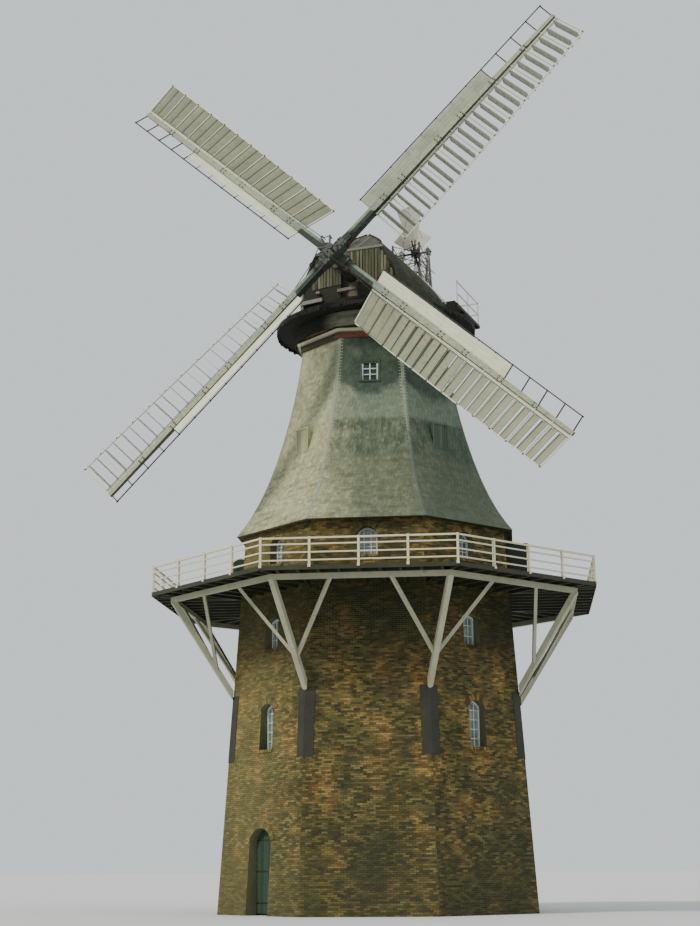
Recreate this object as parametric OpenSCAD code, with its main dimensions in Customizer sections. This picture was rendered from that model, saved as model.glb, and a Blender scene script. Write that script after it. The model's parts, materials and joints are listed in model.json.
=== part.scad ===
// Traditional gallery windmill: an eight-sided brick tower, a shingled smock above a railed stage,
// a boat-shaped cap that turns with the wind, four shuttered sails and a fantail.
// Millimetres, ground level at z = 0, tower axis on Z, front side towards -Y.

/* [Brick tower] */
// Corner radius of the brick tower at the ground
tower_base_r = 6360; // [5800:20:6900]
// Corner radius of the brick tower at its top
tower_top_r = 5400; // [4900:20:5600]
// Height of the brick tower
tower_h = 14150; // [13600:50:15000]
// Thickness of the brick walls
brick_wall = 600; // [400:10:800]
// Width of each window in the brick tower
window_w = 780; // [500:10:1000]
// Height of the windows in the lower row, to the crown of the arch
low_window_h = 1700; // [1200:10:2200]
// Sill height of the windows in the lower row
low_sill_z = 5830; // [5400:10:6400]
// Height of the windows below the stage
mid_window_h = 1180; // [900:10:1500]
// Depth of the sills of the windows below the stage, under its deck
mid_sill_drop = 2310; // [2000:10:2700]
// Height of the windows at stage level
top_window_h = 1080; // [800:10:1200]
// Sill height of the windows at stage level, above the deck
top_sill_above_deck = 930; // [700:10:1100]
// Width of the doors on the stage
stage_door_w = 900; // [700:10:1100]
// Height of the doors on the stage, to the crown of the arch
stage_door_h = 1950; // [1700:10:2100]
// Width of the ground doorway
ground_door_w = 1300; // [1000:10:1600]
// Height of the ground doorway, to the crown of the arch
ground_door_h = 3050; // [2400:10:3400]
// Width of the dark strips on the tower corners, each side
corner_strip_w = 360; // [200:10:600]
// Length of the dark corner strips below the struts
corner_strip_h = 2460; // [1500:20:3400]

/* [Stage] */
// Corner radius of the line of rail posts
rail_r = 9000; // [8700:10:9400]
// Depth of the deck below the top of the brick tower
deck_drop = 2300; // [2000:10:2700]
// Depth below the deck where the struts meet the tower
strut_drop = 3890; // [3000:10:4800]
// Thickness of the deck boards
deck_t = 45; // [30:1:80]
// Height of the rail above the deck
rail_h = 1000; // [900:10:1200]
// Width of a rail post
post_w = 80; // [50:2:120]
// Bays of railing on each of the eight sides
rail_bays = 4; // [2:1:6]
// Distance of the beam that carries the deck inside the line of rail posts
ring_beam_in = 680; // [400:10:1200]
// Depth of the beam that carries the deck
ring_beam_h = 190; // [120:5:260]
// Width of the beam that carries the deck
ring_beam_w = 170; // [100:5:240]
// Depth of the deck joists
joist_h = 120; // [80:5:200]
// Width of the deck joists
joist_w = 90; // [60:5:140]
// Spacing of the deck joists
joist_gap = 720; // [500:10:1000]
// Thickness of the main struts
strut_w = 200; // [140:5:260]
// Thickness of the thin side branches of the struts
branch_w = 115; // [70:5:160]

/* [Smock] */
// Corner radius of the smock at its flared foot
skirt_r = 5750; // [5600:10:6100]
// Corner radius of the smock at its top
smock_top_r = 3080; // [2900:10:3400]
// Height of the smock
smock_h = 7770; // [7000:10:8400]
// Thickness of the boarded and shingled smock sides
smock_wall = 200; // [120:10:300]
// Width of the pale hip strips on the smock corners, each side
hip_w = 150; // [80:5:250]
// Width of the small window in the smock
smock_window_w = 640; // [400:10:800]
// Height of the small window in the smock
smock_window_h = 800; // [500:10:1000]
// Depth of the sill of the small window below the top of the smock
smock_window_drop = 1870; // [1300:10:2800]
// Height of the foot of the closed hatches above the brick tower
hatch_rise = 3200; // [2200:10:4200]

/* [Cap] */
// Angle of the cap at rest, turned from the front towards the left
cap_turn = 15.5; // [0:0.5:40]
// Outer radius of the flared skirt of the cap
cap_skirt_r = 4050; // [3800:10:4300]
// Radius of the boarded drum under the cap
drum_r = 3260; // [3200:10:3400]
// Half width of the cap roof at its base
roof_half_w = 2900; // [2700:10:3100]
// Height of the ridge above the base of the roof
roof_rise = 3100; // [2700:20:3400]
// Distance of the front gable from the tower axis
gable_y = 3000; // [2800:10:3200]
// Thickness of the cap roof
roof_t = 90; // [60:5:140]
// Height of the fan stage deck above the base of the roof
fan_deck_rise = 950; // [700:10:1200]
// Half width of the fan stage
fan_deck_half_w = 2650; // [2300:10:2800]
// Distance of the rear edge of the fan stage from the tower axis
fan_deck_y = 6100; // [5900:10:6600]

/* [Sails] */
// Distance of the sail hub from the tower axis
hub_y = 4380; // [4300:10:4700]
// Height of the sail hub above the base of the roof
hub_rise = 900; // [800:5:1000]
// Upward tilt of the windshaft
shaft_tilt = 10.4; // [9:0.1:13]
// Angle of the front stock at rest, from the horizontal
sail_angle = 47.4; // [0:0.2:90]
// Radius of the windshaft
shaft_r = 260; // [200:5:300]
// Length of a sail from the hub to the tip
sail_len = 12840; // [12400:20:12900]
// Length of a bay of the sail frame
bay = 880; // [700:5:900]
// Bays along a sail
bays = 12; // [8:1:12]
// Bays that are closed by leading boards
board_bays = 8; // [4:1:10]
// Width of the sail frame on the shutter side
sail_w = 1690; // [1400:10:1740]
// Width of the iron frame on the leading side
lead_w = 720; // [500:10:760]
// Forward pitch of the iron frame on the leading side
lead_pitch = 22; // [12:1:26]
// Thickness of the outer rod of the iron frame
rod_w = 30; // [22:1:45]
// Weather angle at the inner end of a sail
weather_in = 23.5; // [12:0.5:26]
// Weather angle at the tip of a sail
weather_out = -4.5; // [-8:0.5:4]
// Opening angle of the shutters on the front stock
shutter_front = 102; // [0:1:110]
// Opening angle of the shutters on the rear stock
shutter_rear = 12; // [0:1:110]
// Thickness of a shutter
shutter_t = 30; // [15:1:50]
// Thickness of a stock at the hub
stock_w = 310; // [260:5:340]
// Thickness of a stock at its tip
stock_tip_w = 150; // [110:5:200]

/* [Fantail] */
// Radius of the fantail
fan_r = 2200; // [1800:10:2400]
// Distance of the fantail hub behind the tower axis
fan_y = 5200; // [5150:10:5400]
// Height of the fantail hub above the base of the roof
fan_rise = 4420; // [4100:10:4800]
// Blades of the fantail
fan_blades_n = 8; // [6:1:10]

/* [Hidden] */

// Small running gap between pieces that seat on each other
seat = 0.3;
half = 22.5;
flat = cos(half);
far = 20000;
tan_half = tan(half);
deck_z = tower_h - deck_drop;
mid_sill_z = deck_z - mid_sill_drop;
top_sill_z = deck_z + top_sill_above_deck;
strut_foot_z = deck_z - strut_drop;
corner_strip_z = strut_foot_z - corner_strip_h;
ring_beam_r = rail_r - ring_beam_in;
smock_top_z = tower_h + smock_h;
smock_window_z = smock_top_z - smock_window_drop;
hatch_z = tower_h + hatch_rise;
hole_in = tower_top_r / 2;
hole_out = tower_base_r * 1.1;
window_set = 330;
frame_w = 70;
frame_d = 80;
glaze_w = 30;
glaze_d = 40;
glaze_y = 60;
glass_t = 12;
floor_t = 220;
paving_t = 60;
curb_t = 430;
curb_z = smock_top_z + curb_t;
cap_ring_h = 200;
sheer_h = 400;
soffit_t = 50;
soffit_z = curb_z + cap_ring_h + sheer_h;
beam_z = soffit_z + soffit_t;
roof_z = beam_z + 980;
roof_front = 4086;
roof_back = 3600;
hip_low = 1600;
hip_run = 2270;
skirt_drop = 920;
valance_h = 160;
fan_deck_z = roof_z + fan_deck_rise;
hub_z = roof_z + hub_rise;
fan_z = roof_z + fan_rise;
tip_end = 30;
sail_start = sail_len - tip_end - bays * bay;
stock_gap = stock_w + 30;
bar_x = 50;
bar_y = 60;
bar_in = 40;
lath_t = 45;
clip_x = 60;
clip_lap = 8;
board_t = 28;
board_in = 175;

// Battered line of the tower: distance of a side from the axis at height z
function tower_a(z) = (tower_base_r + (tower_top_r - tower_base_r) * z / tower_h) * flat;

// Flared line of the smock: distance of a side from the axis at height z
function smock_u(z) = (smock_top_z - z) / (smock_top_z - tower_h);
function smock_a(z) = let (u = smock_u(z))
    (smock_top_r + (skirt_r - smock_top_r) * (0.36 * u + 0.5 * u * u + 0.14 * pow(u, 8))) * flat;

// Helpers

// Turns a piece from the front side to side k of the octagon
module on_side(k) { rotate([0, 0, 45 * k]) children(); }

// One eighth of the plan, centred on the front side
module wedge(z0, z1, inset = 0) {
    translate([0, 0, z0])
        linear_extrude(z1 - z0)
            polygon([[0, -inset / tan_half], [-far * tan_half + inset, -far],
                [far * tan_half - inset, -far]]);
}

// A profile of [distance in front of the axis, height], drawn out along the front side
module along_side(profile) {
    translate([-far / 2, 0, 0])
        rotate([90, 0, 90])
            linear_extrude(far)
                polygon([for (p = profile) [-p[0], p[1]]]);
}

// The part of a side that lies within w of its corner: side 1 is its right end, -1 its left
module mitre_strip(side, w, z0, z1) {
    near = 2000;
    deep = 8000;
    over = 1;
    translate([0, 0, z0]) linear_extrude(z1 - z0) polygon([
        [side * (near * tan_half + over), -near], [side * (deep * tan_half + over), -deep],
        [side * (deep * tan_half - w), -deep], [side * (near * tan_half - w), -near]]);
}

// An arched opening through the front side, from depth y0 to y1 in front of the axis
module arched_hole(w, h, z, y0, y1, rise = 0.28) {
    r = w * (0.25 + rise * rise) / (2 * rise);
    spring = h - w * rise;
    translate([0, -y0, z]) rotate([90, 0, 0]) linear_extrude(y1 - y0) intersection() {
        translate([-w / 2, 0]) square([w, h]);
        union() {
            translate([-w / 2, 0]) square([w, spring]);
            translate([0, h - r]) circle(r, $fn = 72);
        }
    }
}

// Brick tower

module brick_side(k) {
    color("sienna") on_side(k) difference() {
        intersection() {
            along_side([[tower_a(0), 0], [tower_a(tower_h), tower_h],
                [tower_a(tower_h) - brick_wall, tower_h], [tower_a(0) - brick_wall, 0]]);
            wedge(0, tower_h);
        }
        children();
    }
}
module low_window() { arched_hole(window_w, low_window_h, low_sill_z, hole_in, hole_out); }
module mid_window() {
    arched_hole(window_w, mid_window_h, mid_sill_z, hole_in, hole_out, 0.14);
}
module top_window() {
    arched_hole(window_w, top_window_h, top_sill_z, hole_in, hole_out, 0.45);
}
module stage_doorway() {
    arched_hole(stage_door_w, stage_door_h, deck_z, hole_in, hole_out, 0.3);
}

module wall_front() { brick_side(0) { top_window(); } }
module wall_front_right() { brick_side(1) { low_window(); mid_window(); top_window(); } }
module wall_right() { brick_side(2) { stage_doorway(); } }
module wall_back_right() { brick_side(3) { low_window(); mid_window(); top_window(); } }
module wall_back() { brick_side(4) { top_window(); } }
module wall_back_left() { brick_side(5) { low_window(); mid_window(); top_window(); } }
module wall_left() { brick_side(6) { stage_doorway(); } }
module wall_front_left() {
    brick_side(7) {
        low_window();
        mid_window();
        top_window();
        arched_hole(ground_door_w, ground_door_h, -10, hole_in, hole_out, 0.35);
        translate([-door_recess_w / 2, -door_y, -10])
            cube([door_recess_w, hole_in, ground_door_h + door_rebate]);
    }
}

// Folded dark strips that guard the tower corners under the struts
strip_t = 30;
module corner_strip_half(side) {
    t0 = strut_foot_z;
    z0 = corner_strip_z;
    intersection() {
        along_side([[tower_a(z0) + seat, z0], [tower_a(t0) + seat, t0], [tower_a(t0) + strip_t, t0],
            [tower_a(z0) + strip_t, z0]]);
        mitre_strip(side, corner_strip_w, z0, t0);
    }
}
module corner_strips() {
    color("dimgray") for (k = [0:7]) union() {
        on_side(k) corner_strip_half(1);
        on_side(k + 1) corner_strip_half(-1);
    }
}

// Paving inside the tower, and floors at each row of openings
module ground_floor() { color("sienna") linear_extrude(paving_t) octagon(inner_r(paving_t)); }
function inner_r(z) = (tower_a(z) - brick_wall - seat) / flat;
floor_levels = [low_sill_z - 900, mid_sill_z - 850, deck_z];
smock_floors = [hatch_z - 700, smock_window_z - 800];
module octagon(r) { rotate([0, 0, half]) circle(r, $fn = 8); }
module timber_floors() {
    color("peru") {
        for (z = floor_levels)
            translate([0, 0, z - floor_t]) linear_extrude(floor_t) octagon(inner_r(z));
        for (z = smock_floors) difference() {
            translate([0, 0, z - floor_t]) linear_extrude(floor_t)
                octagon((smock_a(z) - smock_wall / 2) / flat);
            for (k = [0:7]) on_side(k) smock_shell(0, smock_wall + seat);
        }
    }
}

// Windows and doors

// Frame that fits an arched hole, with one upright and cross bars
module arched_frame(w, h, z, y, rise, bars) {
    module outline(g) {
        difference() {
            arched_hole(w - 2 * seat, h - seat, z, y, y + frame_d, rise);
            translate([0, 0, g])
                arched_hole(w - 2 * g, h - 2 * g, z, y - 10, y + frame_d + 10, rise);
        }
    }
    outline(frame_w);
    intersection() {
        arched_hole(w - frame_w, h - frame_w / 2, z, y, y + frame_d, rise);
        union() {
            for (x = [-w / 6, w / 6])
                translate([x - glaze_w / 2, -y - glaze_y, z]) cube([glaze_w, glaze_d, h]);
            for (i = [1:bars])
                translate([-w / 2, -y - glaze_y, z + i * h / (bars + 1) - glaze_w / 2])
                cube([w, glaze_d, glaze_w]);
        }
    }
}
module low_frame() {
    arched_frame(window_w, low_window_h, low_sill_z,
        tower_a(low_sill_z + low_window_h) - window_set, 0.28, 4);
}
module mid_frame() {
    arched_frame(window_w, mid_window_h, mid_sill_z,
        tower_a(mid_sill_z + mid_window_h) - window_set, 0.14, 2);
}
module top_frame() {
    arched_frame(window_w, top_window_h, top_sill_z,
        tower_a(top_sill_z + top_window_h) - window_set, 0.45, 2);
}
sash_w = 60;
sash_d = 240;
smock_window_y = smock_a(smock_window_z + smock_window_h) - smock_wall;
module smock_window_frame() {
    pane_w = (smock_window_w - 2 * sash_w - glaze_d) / 2;
    pane_h = (smock_window_h - 2 * sash_w - 2 * glaze_w) / 3;
    translate([-smock_window_w / 2, -smock_window_y - sash_d, smock_window_z]) difference() {
        translate([seat, 0, seat])
            cube([smock_window_w - 2 * seat, sash_d, smock_window_h - 2 * seat]);
        translate([sash_w / 2 - seat, sash_d / 2 - seat, sash_w / 2 - seat])
            cube([smock_window_w - sash_w + 2 * seat, glass_t + 2 * seat,
                smock_window_h - sash_w + 2 * seat]);
        for (i = [0:1], j = [0:2])
            translate([sash_w + i * (pane_w + glaze_d), -10, sash_w + j * (pane_h + glaze_w)])
                cube([pane_w, sash_d + 20, pane_h]);
    }
}
window_sides = [1, 3, 5, 7];
module window_frames() {
    color("honeydew") {
        for (k = window_sides) on_side(k) { low_frame(); mid_frame(); top_frame(); }
        for (k = [0, 4]) on_side(k) top_frame();
        smock_window_frame();
    }
}
module pane(w, h, z, y, rise) {
    arched_hole(w - 2 * frame_w, h - 2 * frame_w, z + frame_w, y + 4, y + 4 + glass_t, rise);
}
module window_glass() {
    color("lightblue") {
        for (k = window_sides) on_side(k) {
            pane(window_w, low_window_h, low_sill_z,
                tower_a(low_sill_z + low_window_h) - window_set, 0.28);
            pane(window_w, mid_window_h, mid_sill_z,
                tower_a(mid_sill_z + mid_window_h) - window_set, 0.14);
        }
        for (k = [0, 1, 3, 4, 5, 7]) on_side(k) pane(window_w, top_window_h, top_sill_z,
            tower_a(top_sill_z + top_window_h) - window_set, 0.45);
        translate([(sash_w - smock_window_w) / 2, -smock_window_y - sash_d / 2,
            smock_window_z + sash_w / 2])
            cube([smock_window_w - sash_w, glass_t, smock_window_h - sash_w]);
    }
}

door_t = 60;
door_ajar = 88;
stage_door_set = 300;
// Leaves of the two doors on the stage: the left one stands open, the right one is closed
module stage_doors() {
    color("darkgreen") {
        on_side(6) translate([-stage_door_w / 2 + 4, -tower_a(deck_z) - 5, 0]) rotate([0, 0, -door_ajar])
            translate([stage_door_w / 2, 0, 0])
            arched_hole(stage_door_w - 12, stage_door_h - 12, deck_z + seat, 0, door_t, 0.3);
        on_side(2) arched_hole(stage_door_w - 2 * seat, stage_door_h - seat, deck_z + seat,
            tower_a(deck_z) - stage_door_set, tower_a(deck_z) - stage_door_set + door_t, 0.3);
    }
}

// Boarded porch over the right-hand stage door
porch_out = 780;
porch_w = 1300;
porch_h = 2050;
porch_wall = 50;
porch_in = 200;
module stage_porch() {
    color("darkslategray") on_side(2) difference() {
        translate([-porch_w / 2, -tower_a(deck_z) - porch_out, deck_z + seat])
            cube([porch_w, porch_out + porch_in, porch_h]);
        translate([-porch_w / 2 + porch_wall, -tower_a(deck_z) - porch_out - 10, deck_z - 1])
            cube([porch_w - 2 * porch_wall, porch_out + 2 * porch_in, porch_h - porch_wall]);
        along_side([[0, 0], [tower_a(0) + seat, 0], [tower_a(tower_h) + seat, tower_h],
            [0, tower_h]]);
    }
}

// Leaf of the ground door: it closes against the back of the arch and swings inwards
door_rebate = 80;
door_gap = 10;
door_set = 280;
door_y = tower_a(ground_door_h) - door_set;
door_recess_w = ground_door_w + 2 * door_rebate;
pin_r = 14;
pin_in = 32;
knuckle_h = 70;
door_axis = [-door_recess_w / 2 + pin_in, -door_y + door_gap + door_t + pin_in];
knuckle_zs = [400, 1500, 2600];
strap_len = 700;
strap_t = 9;
web_t = 12;
hook_drop = 30;
module ground_door() {
    color("darkgreen") on_side(7) difference() {
        union() {
            translate([-door_recess_w / 2 + door_gap, -door_y + door_gap, paving_t + door_gap])
                cube([door_recess_w - 2 * door_gap, door_t,
                    ground_door_h + door_rebate - paving_t - 3 * door_gap]);
            for (z = knuckle_zs) translate([door_axis[0], door_axis[1], z]) {
                cylinder(h = knuckle_h, r = pin_r + 10, $fn = 48);
                translate([0, -pin_in - 1, 0]) cube([strap_len, strap_t, knuckle_h]);
                translate([-web_t / 2, -pin_in, 0]) cube([web_t, pin_in, knuckle_h]);
            }
        }
        for (z = knuckle_zs) translate([door_axis[0], door_axis[1], z - 1])
            cylinder(h = knuckle_h + 2, r = pin_r + seat, $fn = 48);
    }
}
// Hooks on the jamb that carry the leaf
module door_pintles() {
    color("dimgray") on_side(7) for (z = knuckle_zs) translate([door_axis[0], door_axis[1], z]) {
        translate([0, 0, -hook_drop]) cylinder(h = hook_drop + knuckle_h - 10, r = pin_r, $fn = 48);
        translate([-pin_in, -10, -hook_drop]) cube([pin_in, 20, hook_drop - seat]);
    }
}

// Stage

deck_r = rail_r + 60;
module deck_side(k) {
    z = deck_z - deck_t;
    on_side(k) intersection() {
        along_side([[tower_a(z) + seat, z], [deck_r * flat, z], [deck_r * flat, deck_z],
            [tower_a(z) + seat, deck_z]]);
        wedge(z, deck_z);
    }
}
module stage_deck_straight() { color("dimgray") for (k = [0, 2, 4, 6]) deck_side(k); }
module stage_deck_diagonal() { color("dimgray") for (k = [1, 3, 5, 7]) deck_side(k); }

joist_z = deck_z - deck_t - seat - joist_h;
joist_side_n = floor((deck_r * sin(half) - joist_w) / joist_gap);
module joist_bar(x0) {
    along = deck_r * flat - 40;
    translate([x0 - joist_w / 2, -along, joist_z]) cube([joist_w, along, joist_h]);
}
module stage_joists() {
    color("saddlebrown") for (k = [0:7]) on_side(k) {
        intersection() {
            for (i = [-joist_side_n:joist_side_n]) joist_bar(i * joist_gap);
            wedge(joist_z, joist_z + joist_h, joist_w * 0.56);
            translate([-far / 2, -far - tower_a(joist_z) - seat, joist_z]) cube([far, far, joist_h]);
        }
        rotate([0, 0, half]) translate([-joist_w / 2, 0, joist_z])
            translate([0, -deck_r + 60, 0])
            cube([joist_w, deck_r - 60 - tower_a(joist_z) / flat - 15, joist_h]);
    }
}

ring_z = joist_z - ring_beam_h;
module stage_ring_beam() {
    color("beige") translate([0, 0, ring_z]) linear_extrude(ring_beam_h) difference() {
        octagon(ring_beam_r);
        octagon(ring_beam_r - ring_beam_w / flat);
    }
}

// Square bar from p to q
module bar(p, q, w, d) {
    v = q - p;
    translate(p) rotate([0, -atan2(v[2], norm([v[0], v[1]])), atan2(v[1], v[0])])
        translate([0, -w / 2, -d / 2]) cube([norm(v), w, d]);
}
// One strut with its two side branches, at the corner to the right of the front side
branch_at = 0.26;
branch_share = 0.33;
module strut_fan() {
    foot = [sin(half), -cos(half), 0] * (tower_a(strut_foot_z) / flat + strut_w * 0.25)
        + [0, 0, strut_foot_z + strut_w * 0.35];
    r_mid = ring_beam_r - ring_beam_w / 2 / flat;
    head = [sin(half), -cos(half), 0] * r_mid + [0, 0, ring_z + 60];
    knee = foot + (head - foot) * branch_at;
    side = 2 * r_mid * sin(half);
    difference() {
        union() {
            bar(foot - (head - foot) * 0.06, head + (head - foot) * 0.03, strut_w, strut_w);
            for (dir = [[-1, 0, 0], [cos(45), sin(45), 0]]) {
                top = head + dir * side * branch_share;
                bar(knee, top + (top - knee) * 0.05, branch_w, branch_w);
            }
        }
        translate([0, 0, ring_z - seat]) cylinder(h = 1000, r = far);
        for (k = [0, 1]) on_side(k) along_side([[0, 0], [tower_a(0) + strip_t + seat, 0],
            [tower_a(tower_h) + strip_t + seat, tower_h], [0, tower_h]]);
    }
}
module stage_struts() { color("tan") for (k = [0:7]) on_side(k) strut_fan(); }

rail_levels = [0.16, 0.44, 0.73, 1];
module rail_panel(ends) {
    r = rail_r * flat;
    span = 2 * rail_r * sin(half);
    corner = span / 2;
    first = ends ? 0 : 1;
    for (i = [first:rail_bays - first])
        translate([-corner + i * span / rail_bays - post_w / 2, -r - post_w / 2, deck_z + seat])
            cube([post_w, post_w, rail_h]);
    reach = ends ? corner : corner - post_w * 0.72;
    for (f = rail_levels) {
        t = f == 1 ? 60 : 40;
        translate([-reach, -r - t / 2, deck_z + seat + rail_h * f - (f == 1 ? t : 0)])
            cube([2 * reach, t, f == 1 ? t : 50]);
    }
}
module railing_straight() { color("ivory") for (k = [0, 2, 4, 6]) on_side(k) rail_panel(true); }
module railing_diagonal() { color("ivory") for (k = [1, 3, 5, 7]) on_side(k) rail_panel(false); }

// Smock

smock_steps = 10;
smock_zs = [for (i = [0:smock_steps]) tower_h + (smock_top_z - tower_h) * pow(i / smock_steps, 1.4)];
module smock_shell(out, t, z0 = 0) {
    along_side(concat([for (z = smock_zs) [smock_a(z) + out, z]],
        [for (i = [smock_steps:-1:0]) [smock_a(smock_zs[i]) + out - t, smock_zs[i]]]));
}
module smock_side(k) {
    on_side(k) difference() {
        intersection() {
            smock_shell(0, smock_wall);
            wedge(tower_h, smock_top_z);
        }
        if (k == 0) translate([-smock_window_w / 2, -far, smock_window_z])
            cube([smock_window_w, far, smock_window_h]);
    }
}
module smock_straight_sides() { color("slategray") for (k = [0, 2, 4, 6]) smock_side(k); }
module smock_diagonal_sides() { color("darkslategray") for (k = [1, 3, 5, 7]) smock_side(k); }

// Timber sill on the brick tower that carries the smock
sill_w = 650;
module smock_sill() {
    z = smock_zs[1];
    foot = smock_a(tower_h) - smock_wall - seat;
    color("peru") for (k = [0:7]) on_side(k) intersection() {
        along_side([[foot - sill_w, tower_h + seat], [foot, tower_h + seat],
            [smock_a(z) - smock_wall - seat, z], [foot - sill_w, z]]);
        wedge(tower_h, z, -0.1);
    }
}

hip_t = 25;
module hip_half(side) {
    intersection() {
        smock_shell(hip_t, hip_t);
        mitre_strip(side, hip_w, tower_h, smock_top_z);
    }
}
module smock_hips() {
    color("lightgray") for (k = [0:7]) union() {
        on_side(k) hip_half(1);
        on_side(k + 1) hip_half(-1);
    }
}
hatch_w = 620;
hatch_h = 900;
module smock_hatches() {
    color("dimgray") for (k = [1, 7]) on_side(k) {
        z1 = hatch_z + hatch_h;
        difference() {
            translate([-hatch_w / 2, -smock_a(hatch_z) - 20, hatch_z])
                cube([hatch_w, smock_a(hatch_z) - smock_a(z1) + 160, hatch_h]);
            smock_shell(seat, 1500);
        }
    }
}

curb_r = smock_top_r + 60;
curb_bore = drum_r - 650;
ring_bore = drum_r - 600;
soffit_bore = drum_r - 700;
drum_t = 60;
module curb() {
    z = smock_top_z + seat;
    color("burlywood") translate([0, 0, z]) linear_extrude(curb_t - 2 * seat) difference() {
        octagon(curb_r);
        circle(curb_bore, $fn = 96);
    }
}
band_h = 230;
pale_h = 110;
module band(r, z, h) {
    translate([0, 0, z]) linear_extrude(h) difference() {
        octagon(r);
        octagon(curb_r);
    }
}
module curb_band_red() { color("firebrick") band(curb_r + 60, smock_top_z, band_h); }
module curb_band_pale() { color("wheat") band(curb_r + 200, smock_top_z + band_h, pale_h); }

// Cap, drawn with its front towards -Y and turned into place

module cap_place() { rotate([0, 0, -cap_turn]) children(); }

sheer_x = 1250;
sheer_w = 300;
module cap_ring() {
    color("burlywood") cap_place() {
        translate([0, 0, curb_z]) linear_extrude(cap_ring_h) difference() {
            circle(drum_r - drum_t, $fn = 96);
            circle(ring_bore, $fn = 96);
        }
        translate([0, 0, curb_z + cap_ring_h]) linear_extrude(sheer_h) intersection() {
            for (s = [-1, 1]) translate([s * sheer_x - sheer_w / 2, -gable_y])
                square([sheer_w, 2 * gable_y]);
            circle(drum_r - drum_t, $fn = 96);
        }
    }
}
module cap_drum() {
    color("gray") cap_place() translate([0, 0, curb_z]) linear_extrude(cap_ring_h + sheer_h)
        difference() {
            circle(drum_r, $fn = 96);
            circle(drum_r - drum_t + seat, $fn = 96);
        }
}
module cap_soffit() {
    color("black") cap_place() translate([0, 0, soffit_z]) linear_extrude(soffit_t) difference() {
        circle(cap_skirt_r - rim_t - seat, $fn = 96);
        circle(soffit_bore, $fn = 96);
    }
}

// Outline of the roof across the cap, at distance y behind the axis
function roof_len(y) = y < 0 ? roof_front : roof_back;
function roof_k(y) = 1 - pow(y / roof_len(y), 2);
function roof_w(y) = roof_half_w * sqrt(roof_k(y));
function roof_h(y) = roof_rise * (y < 0 ? 1 : pow(roof_k(y), 1 / 3));
function roof_p(y) = 1.22 + (y < 0 ? 0.48 * pow(y / gable_y, 2) : 0.3 * pow(y / roof_back, 2));
roof_n = 9;
function roof_ring(y, t) = [for (j = [0:roof_n]) let (u = 1 - j / roof_n)
    [(roof_w(y) - t) * (1 - pow(u, roof_p(y))), y, roof_z + (roof_h(y) - t) * u]];
roof_foot = beam_z + seat;
function roof_in_y(y) = y < 0 ? y * 1.04 : y * (roof_back - roof_t) / roof_back;
function roof_outside(y) = concat(
    roof_ring(y, 0), [[roof_w(y), y, roof_foot], [0, y, roof_foot]]);
function roof_inside(y) = let (v = roof_in_y(y)) concat(
    [[-10, v, roof_z + roof_h(y) - roof_t]],
    [for (p = roof_ring(y, roof_t)) [p[0], v, p[2]]],
    [[roof_w(y) - roof_t, v, roof_foot - 10], [-10, v, roof_foot - 10]]);
roof_ys = concat([for (i = [6:-1:1]) -(gable_y - 50) * i / 6],
    [for (i = [0:8]) roof_back * sin(86 * i / 8)]);

// Skin drawn over a row of sections with the same number of points
module skin(rings) {
    n = len(rings[0]);
    m = len(rings);
    pts = [for (r = rings) each r];
    polyhedron(pts, concat(
        [[for (j = [0:n - 1]) j]],
        [[for (j = [n - 1:-1:0]) (m - 1) * n + j]],
        [for (i = [0:m - 2], j = [0:n - 1]) let (a = i * n + j, b = i * n + (j + 1) % n)
            each [[a, b + n, b], [a, a + n, b + n]]]));
}
// Everything in front of the sloping upper gable, moved back by d
hip_slope = (roof_rise - hip_low) / hip_run;
module hip_side(d) {
    translate([-far / 2, 0, 0]) rotate([90, 0, 90]) linear_extrude(far) polygon([
        [-gable_y - 500 + d, roof_z + hip_low - 500 * hip_slope],
        [-gable_y + 2 * hip_run + d, roof_z + hip_low + 2 * hip_run * hip_slope],
        [-gable_y - 500 + d, roof_z + hip_low + 2 * hip_run * hip_slope]]);
}
gable_t = 50;
hip_back = gable_t / sin(atan(hip_slope));
// Right half of the roof, which is mirrored for the left
module roof_half() {
    difference() {
        skin([for (y = roof_ys) roof_outside(y)]);
        skin([for (y = roof_ys) roof_inside(y)]);
        hip_side(hip_back + seat);
        tail_beams(seat);
    }
}
module roof_right() { color("darkolivegreen") cap_place() roof_half(); }
module roof_left() { color("darkolivegreen") cap_place() mirror([1, 0, 0]) roof_half(); }

module shaft_axis() { translate([0, -hub_y, hub_z]) rotate([90 - shaft_tilt, 0, 0]) children(); }
gable_line = roof_ring(-gable_y, 0);
module gable_lower() {
    outline = concat(gable_line, [[roof_w(-gable_y), 0, roof_foot]]);
    color("darkkhaki") cap_place() difference() {
        translate([0, -gable_y + gable_t, 0]) rotate([90, 0, 0]) linear_extrude(gable_t)
            polygon(concat([for (p = outline) [p[0], p[2]]],
                [for (i = [len(outline) - 1:-1:1]) [-outline[i][0], outline[i][2]]]));
        hip_side(hip_back + seat);
        shaft_axis() cylinder(h = 6000, r = shaft_r + 90, center = true, $fn = 64);
        translate([-shaft_r - 90, -gable_y - 200, roof_foot - 10])
            cube([2 * shaft_r + 180, 400, shaft_z(-gable_y) - roof_foot]);
    }
}

// Sloping boards above the front gable, with the outline that the roof has there
hip_n = 8;
hip_points = [for (i = [0:hip_n]) let (
        y = -gable_y + hip_run * i / hip_n,
        z = hip_low + (roof_rise - hip_low) * i / hip_n,
        u = min(z / roof_h(y), 1))
    [roof_w(y) * (1 - pow(u, roof_p(y))), hip_run * i / hip_n / cos(atan(hip_slope))]];
module gable_upper() {
    color("tan") cap_place() translate([0, -gable_y, roof_z + hip_low])
        rotate([atan(hip_slope), 0, 0]) translate([0, 0, -gable_t]) linear_extrude(gable_t)
        polygon(concat(hip_points, [for (i = [hip_n - 1:-1:0]) [-hip_points[i][0], hip_points[i][1]]]));
}

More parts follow.
